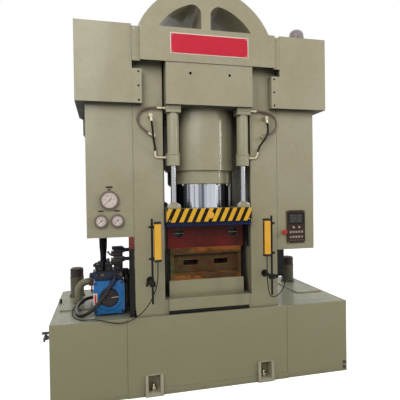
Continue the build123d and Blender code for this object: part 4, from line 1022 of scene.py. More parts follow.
class Workpiece:
    """A mesh in the making, built from bmesh operators in millimetres and handed over in metres."""

    MERGE = 0.002
    SHARP_FROM = math.radians(35)

    def __init__(self, effects: Effects, name: str, main_coat: Coating, origin: Point) -> None:
        """Starts an empty mesh.

        Args:
            effects: The shared node groups.
            name: The piece's name.
            main_coat: The finish of every shape that is given no other.
            origin: The place from which its shapes are measured.
        """
        self.effects = effects
        self.name = name
        self.origin = origin
        self.coats = [main_coat]
        self.mesh = bmesh.new()

    def paint(self, faces: Iterable[bmesh.types.BMFace], coat: Coating | None) -> None:
        """Gives some faces their finish, which joins the piece's list when it is new.

        Args:
            faces: The faces.
            coat: The finish, or None for the piece's main one.
        """
        coat = coat or self.coats[0]
        if coat not in self.coats:
            self.coats.append(coat)
        for face in faces:
            face.material_index = self.coats.index(coat)

    def soften(self, faces: Iterable[bmesh.types.BMFace], width: float, steps: int) -> None:
        """Bevels the edges of some faces.

        Args:
            faces: The faces.
            width: Width of the bevel.
            steps: Segments across it.
        """
        edges = dict.fromkeys(edge for face in faces for edge in face.edges)
        bmesh.ops.bevel(self.mesh, geom=list(edges), offset=width, segments=steps, affect="EDGES",
                        profile=0.5, material=-1, clamp_overlap=True)

    def box(self, low: Point, high: Point, bevel: float = 0.0, steps: int = 2,
            coat: Coating | None = None, turn: Matrix | None = None) -> None:
        """Adds a block with softened edges.

        Args:
            low: Its lowest corner.
            high: Its highest corner.
            bevel: Width of its edge bevel.
            steps: Segments of the bevel.
            coat: Its finish.
            turn: Rotation about its middle.
        """
        size = Vector(high) - Vector(low)
        middle = Matrix.Translation((Vector(high) + Vector(low)) / 2)
        matrix = middle @ (turn or Matrix.Identity(4)) @ Matrix.Diagonal((*size, 1.0))
        made = bmesh.ops.create_cube(self.mesh, size=1.0, matrix=matrix)["verts"]
        faces = faces_at(made)
        self.paint(faces, coat)
        if bevel:
            self.soften(faces, bevel, steps)

    def rod(self, start: Point, end: Point, radius: float, sides: int = 24, bevel: float = 0.0,
            steps: int = 2, coat: Coating | None = None, top_radius: float | None = None) -> None:
        """Adds a round or many-sided bar between two points.

        Args:
            start: Middle of its first end.
            end: Middle of its other end.
            radius: Its radius.
            sides: Number of sides; 6 makes a hexagon.
            bevel: Width of the bevel round its ends.
            steps: Segments of the bevel.
            coat: Its finish.
            top_radius: Radius at the far end, where it tapers.
        """
        along = Vector(end) - Vector(start)
        matrix = Matrix.Translation((Vector(start) + Vector(end)) / 2) @ aimed(along)
        made = bmesh.ops.create_cone(self.mesh, cap_ends=True, cap_tris=False, segments=sides,
                                     radius1=radius, radius2=radius if top_radius is None else top_radius,
                                     depth=along.length, matrix=matrix)["verts"]
        faces = faces_at(made)
        self.paint(faces, coat)
        if bevel:
            self.soften([face for face in faces if len(face.verts) == sides], bevel, steps)

    def turned(self, profile: Sequence[tuple[float, float]], foot: Point, axis: Point, steps: int = 48,
               coat: Coating | None = None) -> None:
        """Adds a shape turned on a lathe.

        Args:
            profile: Radius and height of each corner of the half section, from axis to axis or as a loop.
            foot: Where height 0 lies on the axis.
            axis: Direction of the axis.
            steps: Facets round the axis.
            coat: Its finish.
        """
        place = Matrix.Translation(foot) @ aimed(axis)
        corners = [self.mesh.verts.new(place @ Vector((radius, 0.0, height))) for radius, height in profile]
        closed = profile[0][0] > 0 and profile[-1][0] > 0
        pairs = list(zip(corners, corners[1:])) + ([(corners[-1], corners[0])] if closed else [])
        edges = [self.mesh.edges.new(pair) for pair in pairs]
        before = set(self.mesh.faces)
        bmesh.ops.spin(self.mesh, geom=corners + edges, cent=foot, axis=Vector(axis).normalized(),
                       dvec=(0.0, 0.0, 0.0), angle=2 * math.pi, steps=steps, use_merge=True)
        spun = [face for face in self.mesh.faces if face not in before]
        vertices = dict.fromkeys(vertex for face in spun for vertex in face.verts)
        bmesh.ops.remove_doubles(self.mesh, verts=list(vertices), dist=self.MERGE)
        made = [face for face in self.mesh.faces if face not in before]
        self.paint(made, coat)
        bmesh.ops.recalc_face_normals(self.mesh, faces=made)

    def screw(self, place: Point, axis: Point, radius: float, height: float,
              coat: Coating | None = None) -> None:
        """Adds a round screw head with a socket.

        Args:
            place: Middle of its seat.
            axis: Direction in which it stands out.
            radius: Radius of the head.
            height: Height of the head.
            coat: Its finish.
        """
        socket, floor = 0.45 * radius, 0.45 * height
        self.turned([(0.0, floor), (socket, floor), (socket, height), (0.85 * radius, height),
                     (radius, 0.8 * height), (radius, 0.0), (0.0, 0.0)], place, axis, 16, coat)

    def bolt(self, place: Point, axis: Point, radius: float, height: float,
             coat: Coating | None = None) -> None:
        """Adds a hexagon head on a washer.

        Args:
            place: Middle of its seat.
            axis: Direction in which it stands out.
            radius: Radius over the head's corners.
            height: Height of washer and head.
            coat: Its finish.
        """
        seat, out = Vector(place), Vector(axis).normalized()
        washer = seat + out * height * 0.2
        self.rod(seat, washer, radius * 1.35, 20, coat=coat)
        self.rod(washer, seat + out * height, radius, 6, height * 0.12, 1, coat)

    def take(self, data: bpy.types.Mesh, coat: Coating) -> None:
        """Adds a ready mesh.

        Args:
            data: The mesh, in millimetres.
            coat: Its finish.
        """
        count = len(self.mesh.faces)
        self.mesh.from_mesh(data)
        self.mesh.faces.ensure_lookup_table()
        self.paint(self.mesh.faces[count:], coat)

    def finish(self, slot: str, body: str = PRESS) -> None:
        """Turns the mesh into a finished piece that rides on a body.

        Args:
            slot: Not used.
            body: The CAD body that carries it.
        """
        bmesh.ops.translate(self.mesh, vec=self.origin, verts=self.mesh.verts)
        bmesh.ops.scale(self.mesh, vec=(1 / PER_METRE,) * 3, verts=self.mesh.verts)
        for face in self.mesh.faces:
            face.smooth = True
        for edge in self.mesh.edges:
            if len(edge.link_faces) == 2 and edge.calc_face_angle(0.0) > self.SHARP_FROM:
                edge.smooth = False
        data = bpy.data.meshes.new(self.name)
        self.mesh.to_mesh(data)
        self.mesh.free()
        for coat in self.coats:
            data.materials.append(coat.material(self.effects))
        piece = bpy.data.objects.new(self.name, data)
        bpy.context.scene.collection.objects.link(piece)
        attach(piece, body)
        LOG.info("piece: %s", self.name)


@dataclass(frozen=True)
class Trim:
    """Pieces that dress one part of the press, with every size in millimetres."""

    effects: Effects

    def piece(self, name: str, main_coat: Coating, origin: Point = ORIGIN) -> Workpiece:
        """Starts a piece with its name, its main finish and the place that it is measured from."""
        return Workpiece(self.effects, name, main_coat, origin)

    def build(self) -> None:
        """Makes the pieces."""
        raise NotImplementedError


@dataclass(frozen=True)
class HeaderTrim(Trim):
    """Bare enamelled plate and its screws on the front header cover."""

    face: float = -692.0
    half_width: float = 346.0
    low: float = 2890.0
    high: float = 3068.0
    border: float = 9.0
    thickness: float = 2.5
    enamel: float = 0.8
    screw_in: float = 22.0
    screw_up: float = 20.0

    def build(self) -> None:
        """Makes the plate."""
        plate = self.piece("header_plate", Coating.PLATE_CREAM)
        front = self.face - self.thickness
        plate.box((-self.half_width, front, self.low), (self.half_width, self.face, self.high), 1.0)
        red_half = self.half_width - self.border
        plate.box((-red_half, front - self.enamel, self.low + self.border),
                  (red_half, front + 0.5, self.high - self.border), 0.5, 1, Coating.PLATE_RED)
        for side in SIDES:
            for z in (self.low + self.screw_up, self.high - self.screw_up):
                plate.screw((side * (self.half_width - self.screw_in), front - self.enamel, z), OUT, 4.0, 2.2,
                            Coating.ZINC)
        plate.finish("red_paint")


@dataclass(frozen=True)
class Gauge(Trim):
    """One dial gauge: scale with ticks and numbers, inner ring and bare plates above it.

    Each plate is given as the height of its middle, half its width and half its height.
    """

    name: str
    x: float
    z: float
    radius: float
    top_value: int
    plates: Sequence[tuple[float, float, float]]
    face: float = -575.0
    wall: float = -565.0
    rim: float = 12.5
    start: float = 225.0
    sweep: float = 270.0
    ticks: int = 50
    strong_every: int = 5
    numbers: int = 5
    figure_size: float = 0.17
    figure_reach: float = 0.58
    ink: float = 0.15
    plate_thickness: float = 1.6

    def angle(self, share: float) -> float:
        """Angle in radians of a place on the scale, which runs from 0 to 1."""
        return math.radians(self.start - self.sweep * share)

    def spot(self, share: float, reach: float) -> Vector:
        """Place on the dial at a share of the scale and a distance from the middle."""
        return Vector((reach * math.cos(self.angle(share)), -0.5, reach * math.sin(self.angle(share))))

    def tick(self, scale: Workpiece, share: float, inner: float, outer: float, width: float) -> None:
        """Adds one tick.

        Args:
            scale: The dial's workpiece.
            share: Place on the scale from 0 to 1.
            inner: Radius at which it starts.
            outer: Radius at which it ends.
            width: Its width.
        """
        middle = self.spot(share, (inner + outer) / 2)
        half = Vector(((outer - inner) / 2, self.ink, width / 2))
        scale.box(middle - half, middle + half, coat=Coating.INK,
                  turn=Matrix.Rotation(-self.angle(share), 4, "Y"))

    def number(self, scale: Workpiece, value: int, share: float) -> None:
        """Adds one number of the scale.

        Args:
            scale: The dial's workpiece.
            value: The number.
            share: Its place on the scale from 0 to 1.
        """
        text = bpy.data.curves.new("scale_number", "FONT")
        text.body = str(value)
        text.size = self.figure_size * self.radius
        text.align_x = "CENTER"
        text.align_y = "CENTER"
        text.extrude = self.ink
        text.resolution_u = 3
        holder = bpy.data.objects.new("scale_number", text)
        bpy.context.scene.collection.objects.link(holder)
        bpy.context.view_layer.update()
        data = bpy.data.meshes.new_from_object(holder.evaluated_get(bpy.context.evaluated_depsgraph_get()))
        place = Matrix.Translation(self.spot(share, self.figure_reach * (self.radius - 12)))
        data.transform(place @ Matrix.Rotation(math.radians(90), 4, "X"))
        scale.take(data, Coating.INK)
        bpy.data.objects.remove(holder)
        bpy.data.curves.remove(text)
        bpy.data.meshes.remove(data)

    def build(self) -> None:
        """Makes the dial and the plates."""
        inside = self.radius - self.rim
        scale = self.piece(self.name + "_dial", Coating.DIAL_CREAM, (self.x, self.face, self.z))
        scale.turned([(0.0, 0.0), (0.0, 0.5), (inside - 0.5, 0.5), (inside - 0.5, 0.0)], ORIGIN, OUT, 64)
        scale.turned([(inside - 4, 0.0), (inside - 4, 5.0), (inside - 2.5, 8.0), (inside - 0.2, 8.0),
                      (inside - 0.2, 0.0)], ORIGIN, OUT, 64, Coating.KEY_GREY)
        outer = inside - 6
        for step in range(self.ticks + 1):
            inner, width = (0.84, 1.6) if step % self.strong_every == 0 else (0.91, 0.7)
            self.tick(scale, step / self.ticks, outer * inner, outer, width)
        for step in range(self.numbers + 1):
            self.number(scale, step * self.top_value // self.numbers, step / self.numbers)
        scale.finish("grey_paint")
        plates = self.piece(self.name + "_plates", Coating.PLATE_DARK, (self.x, self.wall, 0.0))
        for z, wide, high in self.plates:
            plates.box((-wide, -self.plate_thickness, z - high), (wide, 0.0, z + high), 0.5, 1)
            for side in SIDES:
                plates.screw((side * (wide - 4), -self.plate_thickness, z), OUT, 1.8, 1.2, Coating.ZINC)
        plates.finish("dark_plastic")


@dataclass(frozen=True)
class Gauges(Trim):
    """The three dial gauges of the left cabinet."""

    def build(self) -> None:
        """Makes the main gauge and the two smaller ones below it."""
        for gauge in (("main_gauge", -858, 1674, 79, 50, ((1783, 28, 8), (1763, 15, 5))),
                      ("left_gauge", -928, 1499, 56, 25, ((1583, 24, 6),)),
                      ("right_gauge", -794, 1500, 56, 25, ((1584, 24, 6),))):
            Gauge(self.effects, *gauge).build()


@dataclass(frozen=True)
class OperatorPanel(Trim):
    """Screen, keys, round keys and corner screws on the operator panel."""

    middle: Point = (843.0, -577.0, 1400.0)
    text_rows: int = 4
    text_pitch: float = 18.0
    upper_keys: float = -50.0
    lower_keys: float = -96.0
    small_keys: float = -127.0
    key_pitch: float = 29.0
    small_pitch: float = 24.0
    round_keys: tuple[float, float] = (28.0, -8.0)
    corner: tuple[float, float] = (83.0, 144.0)

    def build(self) -> None:
        """Makes the screen and the keys."""
        self.screen()
        self.keys()

    def screen(self) -> None:
        """Makes the screen with its rows of figures as plain bars."""
        screen = self.piece("panel_screen", Coating.INK, self.middle)
        screen.box((-77.5, 1, 22.5), (77.5, 4, 127.5), 0.6, 1)
        screen.box((-66, 0.4, 33), (66, 1.4, 117), 0.3, 1, Coating.SCREEN)
        for row in range(self.text_rows):
            low = 102 - self.text_pitch * row
            for left, right in ((-58, -14 + 8 * (row % 3)), (14, 54 - 6 * (row % 2))):
                screen.box((left, 0.1, low), (right, 0.5, low + 7), coat=Coating.SCREEN_ROWS)
        screen.finish("dark_plastic")

    def keys(self) -> None:
        """Makes two rows of keys, a row of small ones, the round keys and the corner screws."""
        keys = self.piece("panel_keys", Coating.KEY_WHITE, self.middle)
        for z, step in product((self.upper_keys, self.lower_keys), range(5)):
            x = self.key_pitch * (step - 2)
            cap, mark = Coating.KEY_WHITE, Coating.KEY_GREY
            if z == self.lower_keys and step in (0, 4):
                cap, mark = mark, cap
            keys.box((x - 9.5, -4.5, z - 10), (x + 9.5, -0.2, z + 10), 1.8, 3, cap)
            keys.box((x - 5, -4.9, z - 2), (x + 5, -4.4, z + 2), 0.3, 1, mark)
        for step in range(6):
            x, z = self.small_pitch * (step - 2.5), self.small_keys
            keys.box((x - 4, -2.2, z - 4), (x + 4, -0.2, z + 4), 1.0, 2, Coating.KEY_GREY)
        for side in SIDES:
            keys.turned([(0.0, 13.0), (5.0, 12.4), (8.8, 10.6), (10.4, 8.0), (10.8, 7.0), (12.5, 6.4),
                         (12.5, 0.0), (0.0, 0.0)], (side * self.round_keys[0], 0.0, self.round_keys[1]), OUT, 32)
        for side, end in product(SIDES, SIDES):
            keys.screw((self.corner[0] * side, 0.0, self.corner[1] * end), OUT, 3.4, 2.0, Coating.ZINC)
        keys.finish("grey_paint")


@dataclass(frozen=True)
class CurtainTrim(Trim):
    """End caps, sensing strips and cable glands of the two light curtains."""

    x: float = 481.0
    y: float = -730.0
    low: float = 1165.0
    height: float = 328.0
    half: float = 28.0
    cap: float = 20.0
    strip: float = 1.2

    def build(self) -> None:
        """Makes the trim of both curtains."""
        across, deep = self.half + 0.8, self.half - 2.2
        for side, label in zip(SIDES, ("left", "right")):
            trim = self.piece(label + "_curtain_trim", Coating.COVER_DARK, (side * self.x, self.y, self.low))
            for low, high in ((-1, self.cap), (self.height - self.cap, self.height)):
                trim.box((-across, -deep, low), (across, deep, high), 3.0, 3)
            left, right = sorted((-side * self.half, -side * (self.half + self.strip)))
            trim.box((left, -12, 26), (right, 12, self.height - 26), 0.5, 1, Coating.LENS)
            trim.turned([(0.0, 0.0), (9.5, 0.0), (9.5, 5.0), (11.0, 6.0), (11.0, 13.5), (0.0, 13.5)],
                        (0.0, 0.0, -14.0), UP, 6, Coating.KEY_GREY)
            trim.finish("black_paint")


@dataclass(frozen=True)
class MotorTrim(Trim):
    """Front of the motor: fan cover, slotted guard, lever, bolts and a bare plate on two stand-offs."""

    middle: Point = (-871.0, -450.0, 832.0)
    cover_bolts: int = 8
    guard_ribs: int = 28
    corner: tuple[float, float] = (112.0, 122.0)
    plate: tuple[float, float] = (-115.5, -5.0)

    def build(self) -> None:
        """Makes the motor's front."""
        cover = self.piece("motor_cover", Coating.COVER_DARK, self.middle)
        cover.turned([(0.0, 24.0), (20.0, 24.0), (23.0, 21.0), (23.0, 17.0), (56.0, 17.0), (60.0, 20.0),
                      (70.0, 20.0), (76.0, 15.0), (77.0, 4.0), (77.0, 0.2), (0.0, 0.2)], ORIGIN, OUT, 56)
        for _, x, z in around(self.cover_bolts, 65, 22.5):
            cover.screw((x, -20, z), OUT, 5.0, 5.0, Coating.BLACK_BOLT)
        cover.rod((18, -26, 2), (82, -26, 5), 2.4, 16, 1.0, 1, Coating.PLATE_CREAM)
        cover.turned([(118.0, 0.0), (118.0, 4.0), (112.0, 6.0), (84.0, 6.0), (80.0, 3.0), (80.0, 0.0)],
                     ORIGIN, OUT, 64, Coating.MOTOR_PAINT)
        for angle, x, z in around(self.guard_ribs, 98):
            cover.box((x - 14, -8.5, z - 1.4), (x + 14, -4.5, z + 1.4), 0.6, 1, Coating.MOTOR_PAINT,
                      Matrix.Rotation(-angle, 4, "Y"))
        for side, end in product(SIDES, SIDES):
            cover.bolt((side * self.corner[0], 0.0, end * self.corner[1]), OUT, 9.0, 9.0, Coating.BLACK_BOLT)
        x, z = self.plate
        cover.box((x - 16.5, -15.0, z - 49), (x + 16.5, -12.0, z + 49), 1.0, 2, Coating.PLATE_CREAM)
        cover.box((x - 6.5, -15.6, z - 39), (x + 6.5, -14.8, z + 39), 0.3, 1, Coating.PLATE_RED)
        for end in SIDES:
            up = z + 43 * end
            cover.rod((x + 0.5, 0.0, up), (x + 0.5, -12.5, up), 4.0, 12, coat=Coating.PLATE_CREAM)
        cover.finish("motor_paint")


@dataclass(frozen=True)
class ManifoldTrim(Trim):
    """Fittings, plugs and coils of the valve manifold, and the tower of coils above it."""

    middle: Point = (-871.0, -420.0, 1056.0)
    unions: tuple[float, ...] = (-98.0, -52.0, 66.0, 102.0)
    coils: tuple[float, ...] = (-78.0, 0.0, 78.0)
    tower_across: tuple[float, float] = (-848.0, -750.0)
    tower_deep: tuple[float, float] = (-318.0, -208.0)
    fins: tuple[float, ...] = (1174.0, 1187.0, 1200.0)
    low_fins: tuple[float, ...] = (1098.0, 1113.0, 1128.0)
    side_valve: Point = (-938.0, -330.0, 1096.0)

    def build(self) -> None:
        """Makes the fittings and the tower."""
        self.fittings()
        self.tower()

    def fittings(self) -> None:
        """Makes the hose unions, plugs and three coils on the block."""
        bits = self.piece("manifold_fittings", Coating.BLACK_BOLT, self.middle)
        for step, x in enumerate(self.unions):
            nut = Coating.BRASS if step % 2 else Coating.BLACK_BOLT
            bits.rod((x, 0, -30), (x, -16, -30), 13, 6, 1.5, 1, nut)
            bits.rod((x, -16, -30), (x, -24, -30), 8, 20, 1.5, 2)
        for x, z, size in ((-70, -62, 9), (-24, -60, 7), (80, -60, 9)):
            bits.rod((x, 0, z), (x, -10, z), size, 6, 1.0, 1)
        for x in self.coils:
            bits.box((x - 30, -26, 4), (x + 30, 8, 52), 4.0, 3, Coating.BLACK_PLASTIC)
            for rib in range(4):
                y = -22 + 8 * rib
                bits.box((x - 31.5, y, 2), (x + 31.5, y + 3, 54), 1.0, 1, Coating.BLACK_PLASTIC)
            bits.rod((x, -26, 28), (x, -38, 28), 9, 6, 1.5, 1, Coating.BROWN_PAINT)
            bits.box((x - 14, 60, 57), (x + 14, 96, 78), 3.0, 2, Coating.BROWN_PAINT)
        bits.finish("dark_steel")

    def tower(self) -> None:
        """Makes the stacked coils, the lever beside them and the side valve."""
        (left, right), (front, back) = self.tower_across, self.tower_deep
        tower = self.piece("valve_coils", Coating.BLACK_PAINT)
        tower.box((left + 10, front - 2, 1224), (right + 14, back + 4, 1247), 4.0, 3)
        tower.box((left + 2, front, 1166), (right - 2, back, 1206), 5.0, 3, Coating.BROWN_PAINT)
        tower.box((left + 22, front + 6, 1152), (right + 10, back - 4, 1159), 1.5, 2, Coating.KEY_GREY)
        tower.box((left, front, 1086), (right, back, 1142), 5.0, 3, Coating.FILTER_OLIVE)
        for out, heights in ((0, self.fins), (2, self.low_fins)):
            for z in heights:
                tower.box((left - out, front - 3, z - 2), (right + out, front + 2, z + 2), 1.0, 1)
        tower.rod((-872, -296, 1204), (-846, -296, 1172), 8.0, 20, 1.5, 2, Coating.KEY_GREY)
        tower.rod((-876, -296, 1209), (-868, -296, 1199), 11.0, 6, 1.5, 1, Coating.FILTER_OLIVE)
        x, y, z = self.side_valve
        tower.rod((x - 52, y, z), (x, y, z), 24.0, 28, 4.0, 3)
        tower.rod((x - 66, y, z), (x - 52, y, z), 15.0, 24, 3.0, 2, Coating.PRIMER_BROWN)
        tower.box((x - 22, y - 22, z - 40), (x + 16, y + 22, z + 24), 4.0, 3, Coating.BROWN_PAINT)
        tower.finish("dark_steel")


@dataclass(frozen=True)
class SideLine(Trim):
    """Drain line, return filter and suction valve round the motor, and the wrap of the riser hoses."""

    drain_foot: Point = (-716.0, -262.0, 675.0)
    drain_rings: tuple[float, ...] = (25.0, 70.0, 115.0)
    jar_foot: Point = (-699.0, -140.0, 675.0)
    valve: Point = (-1046.0, -10.0, 908.0)
    valve_bolts: int = 6
    wrap_top: Point = (-914.0, -283.0, 1359.0)
    wrap_foot: Point = (-914.0, -283.0, 1140.0)

    def build(self) -> None:
        """Makes the four pieces."""
        self.drain()
        self.filter_jar()
        self.suction_valve()
        wrap = self.piece("riser_wrap", Coating.BLACK_RUBBER)
        wrap.rod(self.wrap_top, self.wrap_foot, 22.0, 24, 3.0, 2, top_radius=15.0)
        wrap.finish("black_rubber")

    def drain(self) -> None:
        """Makes the upright drain line with its union and cock."""
        line = self.piece("side_line", Coating.FILTER_OLIVE, self.drain_foot)
        line.turned([(0.0, 0.0), (27.0, 0.0), (27.0, 8.0), (19.0, 10.0), (17.0, 14.0), (17.0, 240.0),
                     (21.0, 242.0), (21.0, 262.0), (17.0, 264.0), (17.0, 330.0), (0.0, 330.0)], ORIGIN, UP, 32)
        line.rod((0, 0, 230), (0, 0, 269), 24.0, 6, 2.0, 1, Coating.BLACK_BOLT)
        line.box((-28, -24, 315), (22, 24, 371), 5.0, 3, Coating.BLACK_PAINT)
        for z in self.drain_rings:
            line.turned([(17.0, 0.0), (20.0, 2.0), (20.0, 12.0), (17.0, 14.0)], (0.0, 0.0, z), UP, 32)
        line.finish("dark_steel")

    def filter_jar(self) -> None:
        """Makes the return filter and its screwed lid."""
        jar = self.piece("return_filter", Coating.FILTER_OLIVE, self.jar_foot)
        jar.turned([(0.0, 0.0), (38.0, 0.0), (38.0, 10.0), (33.0, 12.0), (33.0, 210.0), (36.0, 212.0),
                    (36.0, 226.0), (33.0, 228.0), (33.0, 262.0), (0.0, 262.0)], ORIGIN, UP, 40)
        jar.turned([(0.0, 262.0), (37.0, 262.0), (39.0, 266.0), (39.0, 300.0), (34.0, 308.0), (12.0, 308.0),
                    (10.0, 322.0), (0.0, 322.0)], ORIGIN, UP, 40, Coating.BLACK_PAINT)
        jar.finish("brown_paint")

    def suction_valve(self) -> None:
        """Makes the flanged valve on the suction pipe with its hanging lever."""
        valve = self.piece("suction_valve", Coating.FILTER_OLIVE, self.valve)
        valve.turned([(34.5, 0.0), (58.0, 0.0), (60.0, 2.0), (60.0, 12.0), (50.0, 14.0), (50.0, 30.0),
                      (60.0, 32.0), (60.0, 42.0), (58.0, 44.0), (34.5, 44.0)], ORIGIN, (1.0, 0.0, 0.0), 40)
        for _, y, z in around(self.valve_bolts, 54, 30):
            valve.rod((-7, y, z), (51, y, z), 4.5, 6, 1.0, 1, Coating.BLACK_BOLT)
        valve.rod((22, -52, 0), (22, -86, 0), 11.0, 20, 2.0, 2, Coating.BLACK_PAINT)
        valve.box((14, -94, -108), (30, -86, 6), 3.0, 2, Coating.PRIMER_BROWN)
        valve.finish("dark_steel")


@dataclass(frozen=True)
class PowerPackTrim(Trim):
    """Everything that dresses the power pack, and the painted sleeve on the left duct."""

    sleeve_low: Point = (-701.5, -566.5, 1256.0)
    sleeve_high: Point = (-658.5, -503.5, 1359.0)

    def build(self) -> None:
        """Makes the pieces."""
        for kind in (MotorTrim, ManifoldTrim, SideLine):
            kind(self.effects).build()
        sleeve = self.piece("duct_sleeve", Coating.PRIMER_BROWN)
        sleeve.box(self.sleeve_low, self.sleeve_high, 1.5)
        sleeve.finish("brown_paint")


@dataclass(frozen=True)
class FilterCaps(Trim):
    """Ridged caps, bands and screws of the two tank filters."""

    x: float = 1180.0
    y: float = 310.0
    low: float = 883.0
    high: float = 975.0
    ridge: int = 12
    foot_ring: float = 700.0
    top_ring: float = 868.0
    screws: int = 6

    def build(self) -> None:
        """Makes both caps."""
        profile = [(0.0, self.high + 2), (50.0, self.high + 2), (60.0, self.high - 4)]
        for z in range(int(self.high) - self.ridge, int(self.low) + self.ridge, -self.ridge):
            profile += [(66.0, z), (66.0, z - 7), (64.0, z - 8), (64.0, z - 11)]
        profile += [(66.0, self.low + 6), (66.0, self.low - 1), (0.0, self.low - 1)]
        for side, label in zip(SIDES, ("left", "right")):
            cap = self.piece(label + "_filter_cap", Coating.CAP_BROWN, (side * self.x, self.y, 0.0))
            cap.turned(profile, ORIGIN, UP, 48)
            for low, height, radius in ((self.foot_ring, 16, 71.0), (self.top_ring, 14, 70.5)):
                cap.turned([(68.2, 0.0), (radius, 2.0), (radius, height - 2), (68.2, height)],
                           (0.0, 0.0, low), UP, 48, Coating.FILTER_OLIVE)
            cap.bolt((0.0, 0.0, self.high + 2), UP, 9.0, 9.0, Coating.ZINC)
            for _, x, y in around(self.screws, 73.5):
                cap.screw((x, y, self.foot_ring - 3), UP, 4.5, 5.0, Coating.ZINC)
            cap.finish("brown_paint")


@dataclass(frozen=True)
class SlideTrim(Trim):
    """Clamps on the return rods' feet, pins in the die's pockets and a bare round plate on the board."""

    x: float = 316.0
    rows: tuple[float, float] = (-590.0, 100.0)
    low: float = 1591.3
    pocket: Point = (252.0, -467.0, 1369.3)
    pin: tuple[float, float] = (-478.0, 1366.0)
    board: float = -623.0
    plate: tuple[float, float] = (2.0, 1533.0)
    board_screws: tuple[float, float, float] = (360.0, 1490.0, 1576.0)

    def build(self) -> None:
        """Makes the clamps, the pockets and the plate."""
        self.clamps()
        self.pockets()
        plate = self.piece("board_plate", Coating.AMBER_PAINT)
        plate.turned([(0.0, 1.6), (31.0, 1.6), (32.0, 0.8), (32.0, 0.0), (0.0, 0.0)],
                     (self.plate[0], self.board, self.plate[1]), OUT, 40)
        for side, z in product(SIDES, self.board_screws[1:]):
            plate.screw((side * self.board_screws[0], self.board, z), OUT, 5.0, 3.0, Coating.ZINC)
        plate.finish("yellow_paint", "slide")

    def clamps(self) -> None:
        """Makes a stepped clamp with two bolts round the foot of each rod."""
        feet = self.piece("rod_clamps", Coating.MACHINE)
        for side, y in product(SIDES, self.rows):
            x, z = side * self.x, self.low
            feet.box((x - 58, y - 26, z), (x + 58, y + 26, z + 26), 4.0, 3)
            feet.box((x - 34, y - 26, z + 20), (x + 34, y + 26, z + 50), 7.0, 3)
            feet.rod((x, y, z + 48), (x, y, z + 58), 28.5, 32, 2.0, 2)
            for across in (-46, 46):
                feet.bolt((x + across, y, z + 26), UP, 9.0, 12.0, Coating.ZINC)
        feet.finish("machine_paint", "slide")

    def pockets(self) -> None:
        """Makes a dark cup that paints the shade inside each of the die's two round pockets, and the pins."""
        cups = self.piece("die_pockets", Coating.COVER_DARK)
        y, z = self.pin
        for side in SIDES:
            x = side * self.pocket[0]
            # Painted shade: a dark cup over each pocket's wall and floor.
            cups.turned([(0.0, -35.6), (41.6, -35.6), (41.6, 0.4), (46.0, 0.8), (46.0, 0.2), (41.9, -0.2),
                         (41.9, -35.9), (0.0, -35.9)], (x, *self.pocket[1:]), OUT, 40)
            cups.rod((x - 40, y + 25, z), (x + 40, y + 25, z), 9.5, 20, 1.5, 2, Coating.PIN_STEEL)
            cups.rod((x + 6, y + 22, z), (x + 46, y + 6, z), 7.5, 20, 1.5, 2, Coating.PIN_STEEL)
        cups.finish("black_paint", "slide")


@dataclass(frozen=True)
class CylinderTrim(Trim):
    """Deep flanges with bolts where the return cylinders hang on the housing, and a lip on each gland."""

    x: float = 316.0
    rows: tuple[float, float] = (-590.0, 100.0)
    low: float = 2412.0
    high: float = 2444.0
    lip: float = 2052.0

    def build(self) -> None:
        """Makes the four flanges and lips."""
        flanges = self.piece("return_flanges", Coating.MACHINE)
        for side, y in product(SIDES, self.rows):
            x = side * self.x
            flanges.box((x - 62, y - 58, self.low), (x + 62, y + 58, self.high), 3.0, 2)
            for across, deep in product(SIDES, SIDES):
                flanges.bolt((x + 47 * across, y + 45 * deep, self.low), (0, 0, -1), 8.0, 9.0,
                             Coating.BLACK_BOLT)
            flanges.turned([(57.5, 0.0), (61.5, 2.0), (61.5, 9.0), (57.5, 11.0)], (x, y, self.lip), UP, 48)
        flanges.finish("machine_paint")


